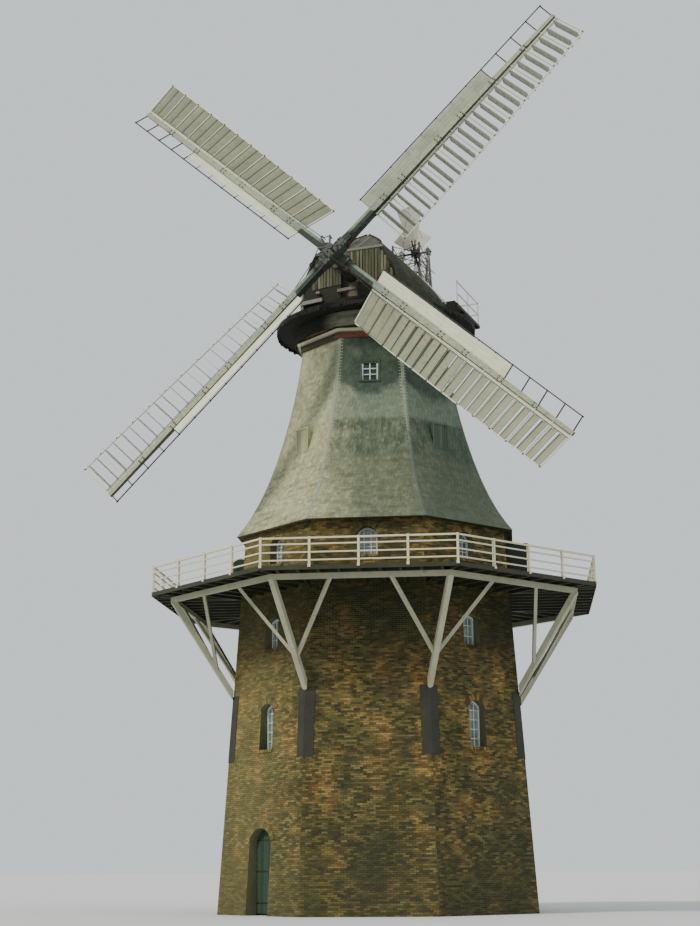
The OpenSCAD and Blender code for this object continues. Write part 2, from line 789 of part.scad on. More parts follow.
// Plan of the upright wall at the foot of the roof
plan_ys = concat([-gable_y - seat], roof_ys);
module roof_plan(g) {
    polygon(concat([for (y = plan_ys) [roof_w(y) + g, y]], [[0, roof_back + g]],
        [for (i = [len(plan_ys) - 1:-1:0]) [-roof_w(plan_ys[i]) - g, plan_ys[i]]]));
}
skirt_t = 60;
rim_t = 50;
// Distance inside the rim and height above it along the flare of the skirt
flare = [[550, 240], [1150, 640], [1800, 900]];
module cap_skirt() {
    r = cap_skirt_r;
    z = roof_z - skirt_drop;
    color("black") cap_place() difference() {
        rotate_extrude($fn = 96) polygon(concat([[r, z - valance_h], [r, z]],
            [for (p = flare) [r - p[0], z + p[1]]],
            [for (i = [2:-1:0]) [r - flare[i][0], z + flare[i][1] - skirt_t]],
            [[r - rim_t, z - rim_t], [r - rim_t, z - valance_h]]));
        translate([0, 0, z - 2000]) linear_extrude(4000) roof_plan(seat);
    }
}

neck_y = -gable_y + 450;
tail_y = 2000;
beam_t = 360;
beam_h = 300;
function shaft_z(y) = hub_z - (y + hub_y) * tan(shaft_tilt);
// Beam across the cap with a block that carries the windshaft
module shaft_beam(y, w, block_w) {
    translate([-w / 2, y - beam_t / 2, beam_z]) cube([w, beam_t, beam_h]);
    difference() {
        translate([-block_w / 2, y - beam_t / 2, beam_z + beam_h])
            cube([block_w, beam_t, shaft_z(y) - beam_z + shaft_r - beam_t / 2]);
        shaft_axis() cylinder(h = far, r = shaft_r + seat, center = true, $fn = 96);
    }
}
module weather_beam() {
    color("saddlebrown") cap_place() shaft_beam(neck_y, roof_half_w * 1.17, 1000);
}
module tail_beam() { color("saddlebrown") cap_place() shaft_beam(tail_y, roof_half_w * 1.38, 900); }

// Fan stage behind the cap

tail_beam_x = 1350;
tail_beam_w = 200;
tail_beam_h = 240;
tail_beam_y = 1500;
fan_deck_t = 40;
fan_deck_start = 2500;
fan_joist_w = 150;
fan_joist_h = 100;
module tail_beams(g) {
    for (s = [-1, 1]) translate([s * tail_beam_x - tail_beam_w / 2 - g, tail_beam_y,
        fan_deck_z - fan_deck_t - tail_beam_h - g])
        cube([tail_beam_w + 2 * g, fan_deck_y - tail_beam_y, tail_beam_h + 2 * g]);
}
// Outline of the rear of the roof at the level of the fan stage
module roof_cut(z, g) {
    ys = [for (y = roof_ys) if (y >= 0 && roof_h(y) > z - roof_z) y];
    xs = [for (y = ys) roof_w(y) * (1 - pow((z - roof_z) / roof_h(y), roof_p(y))) + g];
    last = len(ys) - 1;
    polygon(concat([for (i = [0:last]) [xs[i], ys[i] + g]], [[0, ys[last] + 2 * g]],
        [for (i = [last:-1:0]) [-xs[i], ys[i] + g]]));
}
module fan_stage() {
    color("dimgray") cap_place() {
        translate([0, 0, fan_deck_z - fan_deck_t]) linear_extrude(fan_deck_t) difference() {
            translate([-fan_deck_half_w, fan_deck_start])
                square([2 * fan_deck_half_w, fan_deck_y - fan_deck_start]);
            roof_cut(fan_deck_z - fan_deck_t, 40);
        }
        for (y = [roof_back + 300, fan_deck_y - fan_joist_w])
            translate([-fan_deck_half_w, y, fan_deck_z - fan_deck_t - fan_joist_h])
            cube([2 * fan_deck_half_w, fan_joist_w, fan_joist_h]);
        tail_beams(0);
    }
}
fan_rail_h = 1050;
fan_rail_t = 40;
fan_post_w = 50;
module fan_stage_rail() {
    t = fan_rail_t;
    x = fan_deck_half_w - t;
    y0 = fan_deck_start + 500;
    y1 = fan_deck_y - t;
    color("ivory") cap_place() {
        for (s = [-1, 1], y = [y0, (y0 + y1) / 2, y1])
            translate([s * x - fan_post_w / 2, y - fan_post_w / 2, fan_deck_z + seat])
            cube([fan_post_w, fan_post_w, fan_rail_h]);
        for (z = [0.5, 1]) {
            for (s = [-1, 1]) translate([s * x - t / 2, y0, fan_deck_z + fan_rail_h * z - t])
                cube([t, y1 - y0, t]);
            translate([-x, y1 - t / 2, fan_deck_z + fan_rail_h * z - t]) cube([2 * x, t, t]);
        }
    }
}
trestle_x = 620;
trestle_foot = 720;
leg_w = 90;
rung_w = 60;
brace_w = 50;
block_w = 180;
block_h = 260;
module trestle_side(s) {
    x = s * trestle_x;
    z0 = fan_deck_z + seat;
    top = [x, fan_y, fan_z + 60];
    function leg(d, f) = [x, fan_y + d * trestle_foot * (1 - f), z0 + (top[2] - z0) * f];
    difference() {
        union() {
            for (d = [-1, 1]) bar(leg(d, -0.05), leg(d, 1.02), leg_w, leg_w);
            for (i = [1:5]) {
                bar(leg(-1, i / 6), leg(1, i / 6), rung_w, rung_w);
                if (i < 5) bar(leg(-1, i / 6), leg(1, (i + 1) / 6), brace_w, brace_w);
                if (i < 5) bar(leg(1, i / 6), leg(-1, (i + 1) / 6), brace_w, brace_w);
            }
            translate([x - block_w / 2, fan_y - block_h / 2, fan_z - block_h / 2])
                cube([block_w, block_h, block_h]);
        }
        translate([-far / 2, -far / 2, z0 - 1000]) cube([far, far, 1000]);
        translate([0, fan_y, fan_z]) rotate([0, 90, 0]) cylinder(h = 4 * trestle_x,
            r = fan_shaft_r + seat, center = true, $fn = 64);
    }
}
module fan_trestle() { color("dimgray") cap_place() for (s = [-1, 1]) trestle_side(s); }

// Ladder up the right flank of the roof
ladder_w = 480;
ladder_t = 50;
ladder_d = 45;
rung_t = 28;
module roof_ladder() {
    y0 = roof_ys[7];
    line = [for (j = [2:roof_n - 1]) roof_ring(y0, 0)[j] + [seat, 0, seat]];
    last = len(line) - 1;
    color("ivory") cap_place() {
        for (y = [y0, y0 + ladder_w]) translate([0, y + ladder_t, 0]) rotate([90, 0, 0])
            linear_extrude(ladder_t) polygon(concat([for (p = line) [p[0], p[2]]],
                [for (i = [last:-1:0]) [line[i][0] + ladder_d, line[i][2] + ladder_d]]));
        for (i = [0:last - 1], f = [0.25, 0.75]) let (p = line[i] + (line[i + 1] - line[i]) * f)
            translate([p[0] + 8, y0 + 1, p[2] + 8]) cube([rung_t, ladder_w + ladder_t - 2, rung_t]);
    }
}

// Sails, drawn with the hub at the origin, the front towards -Y and the first arm along X

module sail_place() {
    cap_place() translate([0, -hub_y, hub_z]) rotate([-shaft_tilt, 0, 0]) rotate([0, -sail_angle, 0])
        children();
}
function arm_y(i) = (i % 2 == 0 ? -1 : 1) * stock_gap / 2;
module arm(i) { rotate([0, -90 * i, 0]) translate([0, arm_y(i), 0]) children(); }
function weather(s) = weather_in
    + (weather_out - weather_in) * (s - sail_start) / (sail_len - sail_start);

flange_t = 120;
module windshaft() {
    front = -stock_gap - 40;
    tail = -(hub_y + tail_y + beam_t) / cos(shaft_tilt);
    color("darkslategray") cap_place() shaft_axis() {
        translate([0, 0, tail]) cylinder(h = front - tail, r = shaft_r, $fn = 96);
        translate([0, 0, front - flange_t]) cylinder(h = flange_t, r = shaft_r + flange_t, $fn = 96);
    }
}
poll_len = 620;
poll_wall = 45;
module stock_box(g) { cube([2 * sail_len, stock_w + 2 * g, stock_w + 2 * g], center = true); }
module poll_end() {
    color("darkgreen") sail_place() difference() {
        for (i = [0, 1]) arm(i)
            cube([2 * poll_len, stock_gap + (i == 0 ? 60 : 80), stock_w + 2 * poll_wall], center = true);
        for (i = [0, 1]) arm(i) stock_box(seat);
        translate([-far / 2, stock_gap + 40, -far / 2]) cube(far);
    }
}
// Stock that tapers to both tips
module stock_taper(g = 0) {
    hub = stock_w / 2 + g;
    tip = stock_tip_w / 2 + g;
    module side() {
        polygon([[-sail_len, -tip], [-poll_len, -hub], [poll_len, -hub], [sail_len, -tip],
            [sail_len, tip], [poll_len, hub], [-poll_len, hub], [-sail_len, tip]]);
    }
    intersection() {
        translate([0, 0, -stock_w]) linear_extrude(2 * stock_w) side();
        rotate([90, 0, 0]) translate([0, 0, -stock_w]) linear_extrude(2 * stock_w) side();
    }
}
// Bars on the shutter side, which end inside the stock
module sail_bars(g) {
    for (k = [0:bays]) {
        s = sail_start + k * bay;
        rotate([weather(s), 0, 0])
            translate([s - bar_x / 2 - g, -bar_y / 2 - g, -sail_w])
            cube([bar_x + 2 * g, bar_y + 2 * g, sail_w + bar_in + g]);
    }
}
module stock(i) {
    rotate([0, -90 * i, 0]) translate([0, arm_y(i), 0]) difference() {
        stock_taper();
        sail_bars(seat);
        rotate([0, 180, 0]) sail_bars(seat);
    }
}
module stock_front() { color("darkgreen") sail_place() stock(0); }
module stock_rear() { color("darkgreen") sail_place() stock(1); }

// Lath along an arm at distance t from the stock's axis, bent from bar to bar
module twisted_lath(t, w, k0, k1) {
    for (k = [k0:k1 - 1]) {
        s0 = sail_start + k * bay;
        s1 = s0 + bay;
        p = [s0 - 10, -t * sin(weather(s0)), t * cos(weather(s0))];
        q = [s1 + 10, -t * sin(weather(s1)), t * cos(weather(s1))];
        v = q - p;
        translate(p) rotate([0, -atan2(v[2], norm([v[0], v[1]])), atan2(v[1], v[0])])
            rotate([weather(s0 + bay / 2), 0, 0]) translate([0, -w / 2, -w / 2])
            cube([norm(v), w, w]);
    }
}
uplong_t = 240;
module sail_frame() {
    sail_bars(0);
    twisted_lath(-sail_w + lath_t / 2, lath_t, 0, bays);
    twisted_lath(-uplong_t, lath_t, 0, bays);
}
module sail_frames_front() { color("ivory") sail_place() for (i = [0, 2]) arm(i) sail_frame(); }
module sail_frames_rear() { color("ivory") sail_place() for (i = [1, 3]) arm(i) sail_frame(); }

// Iron rods on the leading side of an arm, with a clip at each bay
module lead_frame() {
    rod_end = lead_w - clip_lap;
    cross_w = rod_w - 6;
    difference() {
        rotate([lead_pitch, 0, 0]) translate([sail_start, 0, 0]) {
            translate([-rod_w / 2, -rod_w / 2, rod_end - rod_w])
                cube([bays * bay + rod_w, rod_w, rod_w]);
            for (k = [0:bays]) translate([k * bay, 0, 0]) {
                translate([-cross_w / 2, -cross_w / 2, 0]) cube([cross_w, cross_w, rod_end - rod_w / 2]);
                translate([-clip_x / 2, -rod_w / 2 - clip_lap, rod_end - rod_w - clip_lap])
                    cube([clip_x, rod_w + 2 * clip_lap, rod_w + 2 * clip_lap]);
            }
        }
        stock_taper(seat);
    }
}
module lead_frames() { color("dimgray") sail_place() for (i = [0:3]) arm(i) lead_frame(); }

// Width of the open strip between the boards and the outer rod, on each arm in turn
board_gaps = [16, 190, 90, 16];
module leading_boards() {
    z1 = lead_w - 2 * clip_lap - rod_w;
    color("cornsilk") sail_place() for (i = [0:3]) arm(i) rotate([lead_pitch, 0, 0])
        for (k = [0:board_bays - 1])
            translate([sail_start + k * bay + rod_w / 2 + seat, -board_t / 2, board_in])
            cube([bay - rod_w - 2 * seat, board_t, z1 - board_gaps[i] - board_in]);
}
shutters_per_bay = 2;
module shutters(angle) {
    pitch = (bay - bar_x) / shutters_per_bay;
    w = pitch - 12;
    z1 = -uplong_t - lath_t / 2 - 0.6;
    z0 = -sail_w + lath_t + 0.6;
    for (k = [0:bays - 1], m = [0:shutters_per_bay - 1]) {
        s = sail_start + k * bay + bar_x / 2 + (m + 0.5) * pitch;
        rotate([weather(s), 0, 0]) translate([s, 0, 0]) rotate([0, 0, angle])
            translate([-w / 2, -shutter_t / 2, z0]) cube([w, shutter_t, z1 - z0]);
    }
}
module shutters_front() {
    color("lightgray") sail_place() for (i = [0, 2]) arm(i) shutters(shutter_front);
}
module shutters_rear() {
    color("gray") sail_place() for (i = [1, 3]) arm(i) shutters(shutter_rear);
}

// Cross of the shutter gear in front of the hub, with four short links back towards the sails
spider_out = 330;
spider_arm = 500;
spider_rod_r = 45;
link_w = 50;
link_len = 190;
module spider() {
    y0 = -stock_gap / 2 - (stock_gap + 60) / 2;
    color("dimgray") sail_place() {
        translate([0, y0 - seat, 0]) rotate([90, 0, 0]) cylinder(h = spider_out + 60, r = spider_rod_r,
            $fn = 48);
        translate([0, y0 - spider_out, 0]) rotate([0, 45, 0]) {
            rotate([90, 0, 0]) cylinder(h = 100, r = 130, center = true, $fn = 48);
            cube([2 * spider_arm, 40, 70], center = true);
            cube([70, 40, 2 * spider_arm], center = true);
            for (i = [0:3]) rotate([0, 90 * i, 0]) translate([spider_arm - 70, -10, -link_w / 2])
                cube([link_w, link_len, link_w]);
        }
    }
}

// Fantail

fan_shaft_r = 45;
spoke_w = 70;
spoke_end = 670;
blade_t = 28;
// Distance from the hub and half width at both ends of a blade
blade_start = [560, 130];
blade_half_w = 330;
module fan_place() { cap_place() translate([0, fan_y, fan_z]) children(); }
module fan_shaft() {
    color("dimgray") fan_place() {
        rotate([0, 90, 0]) cylinder(h = 2 * trestle_x + 300, r = fan_shaft_r, center = true, $fn = 64);
        rotate([0, 90, 0]) cylinder(h = 260, r = 190, center = true, $fn = 64);
        for (i = [0:fan_blades_n - 1]) rotate([i * 360 / fan_blades_n, 0, 0])
            translate([-spoke_w / 2, -spoke_w / 2, 150]) cube([spoke_w, spoke_w, spoke_end - 150]);
    }
}
module fan_blades() {
    color("ivory") fan_place() for (i = [0:fan_blades_n - 1]) rotate([i * 360 / fan_blades_n, 0, 0])
        rotate([0, 0, 45]) difference() {
            rotate([90, 0, 0]) translate([0, 0, -blade_t / 2]) linear_extrude(blade_t)
                polygon([[-blade_start[1], blade_start[0]], [-blade_half_w, fan_r],
                    [blade_half_w, fan_r], [blade_start[1], blade_start[0]]]);
            rotate([0, 0, -45]) translate([-spoke_w / 2 - seat, -spoke_w / 2 - seat, 100])
                cube([spoke_w + 2 * seat, spoke_w + 2 * seat, spoke_end - 100 + seat]);
        }
}

wall_front();
wall_front_right();
wall_right();
wall_back_right();
wall_back();
wall_back_left();
wall_left();
wall_front_left();
corner_strips();
ground_floor();
timber_floors();
window_frames();
window_glass();
stage_doors();
stage_porch();
ground_door();
door_pintles();
stage_deck_straight();
stage_deck_diagonal();
stage_joists();
stage_ring_beam();
stage_struts();
railing_straight();
railing_diagonal();
smock_straight_sides();
smock_diagonal_sides();
smock_sill();
smock_hips();
smock_hatches();
curb();
curb_band_red();
curb_band_pale();
cap_ring();
cap_drum();
cap_soffit();
cap_skirt();
roof_left();
roof_right();
gable_lower();
gable_upper();
weather_beam();
tail_beam();
fan_stage();
fan_stage_rail();
fan_trestle();
roof_ladder();
windshaft();
poll_end();
stock_front();
stock_rear();
sail_frames_front();
sail_frames_rear();
lead_frames();
leading_boards();
shutters_front();
shutters_rear();
spider();
fan_shaft();
fan_blades();
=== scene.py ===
import json
from math import atan, atan2, ceil, cos, floor, hypot, pi, radians, sin, sqrt, tan

import bpy
import numpy as np
from mathutils import Matrix, Vector

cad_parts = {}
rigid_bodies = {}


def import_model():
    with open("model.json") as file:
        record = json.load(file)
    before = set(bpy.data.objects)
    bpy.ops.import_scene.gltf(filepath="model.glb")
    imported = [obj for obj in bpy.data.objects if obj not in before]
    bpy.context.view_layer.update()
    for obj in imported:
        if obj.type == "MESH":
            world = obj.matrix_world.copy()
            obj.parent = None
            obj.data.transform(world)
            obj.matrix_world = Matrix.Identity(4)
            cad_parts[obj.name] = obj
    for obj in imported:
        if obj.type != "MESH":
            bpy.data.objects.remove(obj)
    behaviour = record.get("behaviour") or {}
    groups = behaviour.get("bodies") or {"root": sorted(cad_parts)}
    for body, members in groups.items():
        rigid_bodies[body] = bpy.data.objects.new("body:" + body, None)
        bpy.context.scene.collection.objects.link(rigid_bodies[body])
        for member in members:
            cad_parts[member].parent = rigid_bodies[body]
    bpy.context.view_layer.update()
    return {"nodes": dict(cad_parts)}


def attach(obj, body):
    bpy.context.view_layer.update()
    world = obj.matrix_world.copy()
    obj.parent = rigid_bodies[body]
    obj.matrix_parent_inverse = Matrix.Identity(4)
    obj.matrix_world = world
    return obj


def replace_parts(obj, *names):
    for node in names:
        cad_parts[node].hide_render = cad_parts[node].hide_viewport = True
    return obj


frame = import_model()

cad = frame["nodes"]

# The place where the mill is seen from: eye level, about 63 m in front of the tower.
# The lens and the tilt match the photograph. A pale floor and soft lamps stand round the mill.
camera_data = bpy.data.cameras.new("camera")
camera = bpy.data.objects.new("camera", camera_data)
bpy.context.scene.collection.objects.link(camera)
bpy.context.scene.camera = camera
camera.matrix_world = Matrix((
    (0.99477, 0.03121, 0.09724, 5.2608),
    (0.10191, -0.24070, -0.96524, -63.2452),
    (-0.00671, 0.97010, -0.24262, 1.65),
    (0, 0, 0, 1)))
FOCAL_PIXELS, PHOTO_PIXELS, SENSOR = 1617.8, 926, 36
camera_data.sensor_fit = "VERTICAL"
camera_data.sensor_height = SENSOR
camera_data.lens = FOCAL_PIXELS / PHOTO_PIXELS * SENSOR
camera_data.clip_end = 2000


def choose(*pieces):
    """Selects these pieces and nothing else, and makes the first one active."""
    for o in bpy.context.view_layer.objects:
        o.select_set(False)
    for p in pieces:
        p.select_set(True)
    if pieces:
        bpy.context.view_layer.objects.active = pieces[0]


def primitive(kind, name, **settings):
    choose()
    getattr(bpy.ops.mesh, "primitive_" + kind + "_add")(**settings)
    piece = bpy.context.active_object
    piece.name = piece.data.name = name
    return piece


studio_floor = primitive("plane", "floor", size=900)
floor_coat = bpy.data.materials.new("pale_floor")
floor_coat.use_nodes = True
floor_shader = floor_coat.node_tree.nodes["Principled BSDF"]
floor_shader.inputs["Base Color"].default_value = (0.62, 0.62, 0.60, 1)
floor_shader.inputs["Roughness"].default_value = 0.9
studio_floor.data.materials.append(floor_coat)

world = bpy.data.worlds.new("soft_sky")
bpy.context.scene.world = world
world.use_nodes = True
sky = world.node_tree.nodes["Background"]
sky.inputs["Color"].default_value = (0.80, 0.86, 0.90, 1)
sky.inputs["Strength"].default_value = 1.0
for name, energy, turn, width, colour in (
        ("sun_lamp", 2.6, (50, 0, -52), 8, (1.0, 0.98, 0.86)),
        ("fill_lamp", 0.4, (60, 0, 60), 40, (0.85, 0.92, 1.0))):
    lamp = bpy.data.objects.new(name, bpy.data.lights.new(name, "SUN"))
    bpy.context.scene.collection.objects.link(lamp)
    lamp.data.energy = energy
    lamp.data.angle = radians(width)
    lamp.data.color = colour
    lamp.rotation_euler = [radians(a) for a in turn]


# Brickwork of the tower: eight battered sides of hand-made bricks in lime mortar, laid in courses
# of half-lapped stretchers. Each brick stands a little proud of its joints. Soot, damp and repairs
# leave dark fields and bright orange patches. Painted sunlight makes the left sides paler, and
# painted shade darkens the wall under the stage.
FLAT = cos(pi / 8)
TOWER_H, FOOT_R, HEAD_R = 14.15, 6.36, 5.40
BATTER = (FOOT_R - HEAD_R) * FLAT / TOWER_H
BRICK_L, BRICK_H, BRICK_D = 0.218, 0.064, 0.024
PITCH_X, PITCH_Z = 0.228, 0.074
COURSE_L, BRICKS_PER_COURSE = 6.0, 27
ARCH_RING, ARCH_BRICK, ARCH_PITCH = 0.24, 0.066, 0.078
DECK_Z = 11.85
SIDE_NAMES = ("front", "front_right", "right", "back_right", "back", "back_left", "left", "front_left")


def tower_face(z):
    """Distance of the face of the brickwork from the tower's axis."""
    return FOOT_R * FLAT - BATTER * z


def side_turn(k):
    return Matrix.Rotation(k * pi / 4, 4, "Z")


class Flow:
    """A number that runs through a material's nodes."""

    def __init__(self, coat, socket):
        self.coat = coat
        self.socket = socket

    def _math(self, operation, *values):
        return self.coat.node("ShaderNodeMath", {"operation": operation}, dict(enumerate(values)))

    def __add__(self, other): return self._math("ADD", self, other)
    def __radd__(self, other): return self._math("ADD", other, self)
    def __sub__(self, other): return self._math("SUBTRACT", self, other)
    def __rsub__(self, other): return self._math("SUBTRACT", other, self)
    def __mul__(self, other): return self._math("MULTIPLY", self, other)
    def __rmul__(self, other): return self._math("MULTIPLY", other, self)
    def __truediv__(self, other): return self._math("DIVIDE", self, other)
    def __mod__(self, other): return self._math("FLOORED_MODULO", self, other)
    def __lt__(self, other): return self._math("LESS_THAN", self, other)
    def __floor__(self): return self._math("FLOOR", self)
    def __abs__(self): return self._math("ABSOLUTE", self)


class Coat:
    """The finish of a piece, made of nodes that read the piece's own coordinates."""

    def __init__(self, name, metallic=0.0, specular=0.3):
        self.material = bpy.data.materials.new(name)
        self.material.use_nodes = True
        self.tree = self.material.node_tree
        self.shader = self.tree.nodes["Principled BSDF"]
        self.shader.inputs["Metallic"].default_value = metallic
        self.shader.inputs["Specular IOR Level"].default_value = specular
        self.place = self.node("ShaderNodeTexCoord", {}, {}, "Object")

    def node(self, kind, settings=None, sockets=None, output=0):
        made = self.tree.nodes.new(kind)
        for key, value in (settings or {}).items():
            if key == "stops":
                ramp = made.color_ramp
                while len(ramp.elements) < len(value):
                    ramp.elements.new(0.5)
                for element, (where, colour) in zip(ramp.elements, value):
                    element.position = where
                    element.color = (*colour, 1)
            else:
                setattr(made, key, value)
        for key, value in (sockets or {}).items():
            if isinstance(value, Flow):
                self.tree.links.new(value.socket, made.inputs[key])
            elif isinstance(value, tuple) and len(value) == 3 and made.inputs[key].type == "RGBA":
                made.inputs[key].default_value = (*value, 1)
            else:
                made.inputs[key].default_value = value
        return Flow(self, made.outputs[output])

    def stretched(self, x, y, z):
        return self.node("ShaderNodeMapping", {}, {"Vector": self.place, "Scale": (x, y, z)})

    def noise(self, scale, detail=3, where=None, rough=0.55, low=0.3, high=0.7):
        made = self.node("ShaderNodeTexNoise", {}, {
            "Vector": where or self.place, "Scale": scale, "Detail": detail, "Roughness": rough})
        return self.span(made, low, high)

    def span(self, value, start, end, first=0, last=1):
        """Turns a value from start to end into one from first to last, and holds it beyond them."""
        return self.node("ShaderNodeMapRange", {}, {0: value, 1: start, 2: end, 3: first, 4: last})

    def given(self, name):
        """A number that the mesh holds for each brick, shingle or board."""
        return self.node("ShaderNodeAttribute", {"attribute_name": name}, {}, "Fac")

    def axis(self, letter):
        return self.node("ShaderNodeSeparateXYZ", {}, {0: self.place}, letter)

    def ramp(self, amount, *stops):
        return self.node("ShaderNodeValToRGB", {"stops": stops}, {0: amount})

    def mix(self, amount, a, b):
        return self.node("ShaderNodeMix", {"data_type": "RGBA"}, {0: amount, 6: a, 7: b}, 2)

    def finish(self, colour, rough, height, depth):
        for socket, value in (("Base Color", colour), ("Roughness", rough)):
            if isinstance(value, Flow):
                self.tree.links.new(value.socket, self.shader.inputs[socket])
            else:
                self.shader.inputs[socket].default_value = value
        bump = self.node("ShaderNodeBump", {}, {"Height": height, "Distance": depth})
        self.tree.links.new(bump.socket, self.shader.inputs["Normal"])
        return self.material


def painted(piece, material):
    piece.data.materials.clear()
    piece.data.materials.append(material)
    return piece


def paint_node(material, *names):
    for n in names:
        painted(cad[n], material)


def fixed(piece, body, turn=None):
    """Turns a finished piece to its side of the mill and fixes it to the body that it rides on."""
    if turn is not None:
        piece.data.transform(turn)
    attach(piece, body)
    return piece


def join(name, pieces):
    choose(*pieces)
    if len(pieces) > 1:
        bpy.ops.object.join()
    piece = bpy.context.active_object
    piece.name = piece.data.name = name
    return piece


def settle(piece):
    choose(piece)
    bpy.ops.object.transform_apply(location=True, rotation=True, scale=True)
    return piece


def placed(piece, place):
    settle(piece).data.transform(place)
    return piece


def twin(piece, name):
    copy = piece.copy()
    copy.data = piece.data.copy()
    copy.name = copy.data.name = name
    bpy.context.scene.collection.objects.link(copy)
    return copy


def repeat(piece, count, step):
    choose(piece)
    row = piece.modifiers.new("row", "ARRAY")
    row.use_relative_offset = False
    row.use_constant_offset = True
    row.constant_offset_displace = step
    row.count = count
    bpy.ops.object.modifier_apply(modifier="row")
    return piece


def cut(piece, point, normal, only=None, drop=True):
    """Saws the piece along a plane and takes away the side that the normal points to."""
    choose(piece)
    mesh = piece.data
    bpy.ops.object.mode_set(mode="EDIT")
    bpy.ops.mesh.select_all(action="DESELECT")
    bpy.ops.object.mode_set(mode="OBJECT")
    if only is None:
        mesh.polygons.foreach_set("select", np.ones(len(mesh.polygons), bool))
    else:
        mesh.polygons.foreach_set("select", only(face_centres(mesh)))
    bpy.ops.object.mode_set(mode="EDIT")
    bpy.ops.mesh.bisect(plane_co=point, plane_no=normal, clear_outer=drop, clear_inner=False)
    bpy.ops.object.mode_set(mode="OBJECT")


def face_centres(mesh):
    centres = np.zeros(len(mesh.polygons) * 3)
    mesh.polygons.foreach_get("center", centres)
    return centres.reshape(-1, 3)


def take_away(piece, wanted):
    choose(piece)
    mesh = piece.data
    bpy.ops.object.mode_set(mode="EDIT")
    bpy.ops.mesh.select_all(action="DESELECT")
    bpy.ops.object.mode_set(mode="OBJECT")
    mesh.polygons.foreach_set("select", wanted)
    bpy.ops.object.mode_set(mode="EDIT")
    bpy.ops.mesh.select_mode(type="FACE")
    bpy.ops.mesh.delete(type="FACE")
    bpy.ops.object.mode_set(mode="OBJECT")


def each_its_own(piece, corners, seed):
    """Gives each brick, shingle or board a number of its own, which its finish reads."""
    count = len(piece.data.vertices) // corners
    shades = np.repeat(np.random.default_rng(seed).random(count + 1), corners)
    kept = piece.data.attributes.new("shade", "FLOAT", "POINT")
    kept.data.foreach_set("value", shades[:len(piece.data.vertices)].astype(np.float32))


def brick_coat(name, own):
    coat = Coat(name, specular=0.25)
    one = coat.given("shade") if own else coat.noise(9, 1, coat.stretched(1, 1, 3))
    field = coat.noise(0.32, 4, rough=0.6)
    patch = coat.noise(0.9, 5, coat.stretched(1, 1, 0.75), rough=0.7, low=0.47, high=0.62)
    speck = coat.noise(40, 3)
    damp_and_shade = coat.span(coat.axis("Z"), 5.0, 0.0)
    body = coat.ramp(one * 0.72 + speck * 0.14 + field * 0.14,
                     (0.0, (0.018, 0.019, 0.008)), (0.3, (0.045, 0.043, 0.015)),
                     (0.55, (0.084, 0.074, 0.023)), (0.78, (0.138, 0.108, 0.033)),
                     (1.0, (0.26, 0.235, 0.095)))
    warm = coat.ramp(one, (0.0, (0.088, 0.055, 0.018)), (0.6, (0.205, 0.120, 0.034)),
                     (1.0, (0.34, 0.22, 0.070)))
    colour = coat.mix(patch * (1 - damp_and_shade * 0.6), body, warm)
    soot = coat.noise(0.55, 4, coat.stretched(1, 1, 0.6), low=0.46, high=0.66)
    # Painted sunlight: the left sides are made paler and less sooty, as if the sun fell on them.
    painted_sunlight = coat.span(coat.axis("X") + field * 1.2, -1.4, -3.6)
    colour = coat.mix(soot * (0.66 - painted_sunlight * 0.36), colour, (0.030, 0.032, 0.016))
    colour = coat.mix(painted_sunlight * 0.30, colour, (0.27, 0.225, 0.085))
    # Painted shade: the wall just under the stage is darkened, as if in the shade of the deck.
    under_stage = coat.span(coat.axis("Z"), DECK_Z + 0.15, DECK_Z - 0.25)
    painted_stage_shade = coat.span(coat.axis("Z") + field * 0.9, 8.4, 10.9) * under_stage
    colour = coat.mix(painted_stage_shade * 0.55, colour, (0.014, 0.015, 0.007))
    colour = coat.mix(damp_and_shade * 0.35, colour, (0.046, 0.048, 0.026))
    return coat.finish(colour, 0.86 + speck * 0.1, coat.noise(60, 4) + speck * 0.5, 0.004)


def mortar_coat():
    coat = Coat("lime_mortar", specular=0.2)
    grain = coat.noise(70, 4)
    soot = coat.noise(0.5, 4, coat.stretched(1, 1, 0.6))
    colour = coat.mix(soot * 0.75, coat.mix(grain, (0.14, 0.14, 0.080), (0.25, 0.24, 0.145)),
                      (0.042, 0.043, 0.024))
    course = coat.axis("Z") % PITCH_Z
    joint = coat.span(course, 0.012, 0.006)
    return coat.finish(colour, 0.92, grain - joint * 0.6, 0.005)


brick_finish = brick_coat("tower_bricks", True)
paint_node(mortar_coat(), *("wall_" + n for n in SIDE_NAMES))

brick = settle(primitive("cube", "brick", size=1, scale=(BRICK_L, BRICK_D, BRICK_H)))
take_away(brick, face_centres(brick.data)[:, 1] > BRICK_D * 0.4)
brick.location = ((BRICK_L - COURSE_L) / 2, 0, PITCH_Z / 2)
settle(brick)
half_lap = twin(brick, "half_lap")
half_lap.location = (-PITCH_X / 2, 0, PITCH_Z)
settle(half_lap)
brick = join("brick", [brick, half_lap])
repeat(brick, BRICKS_PER_COURSE, (PITCH_X, 0, 0))
repeat(brick, ceil(TOWER_H / 2 / PITCH_Z), (0, 0, 2 * PITCH_Z))
each_its_own(brick, 8, 7)
brick.rotation_euler = (-atan(BATTER), 0, 0)
brick.location = (0, -tower_face(0), 0)
settle(brick)
cut(brick, (0, 0, TOWER_H), (0, 0, 1))
cut(brick, (0, 0, 0.002), (0, 0, -1))
for end in (-1, 1):
    cut(brick, (0, 0, 0), (end * FLAT, sin(pi / 8), 0))

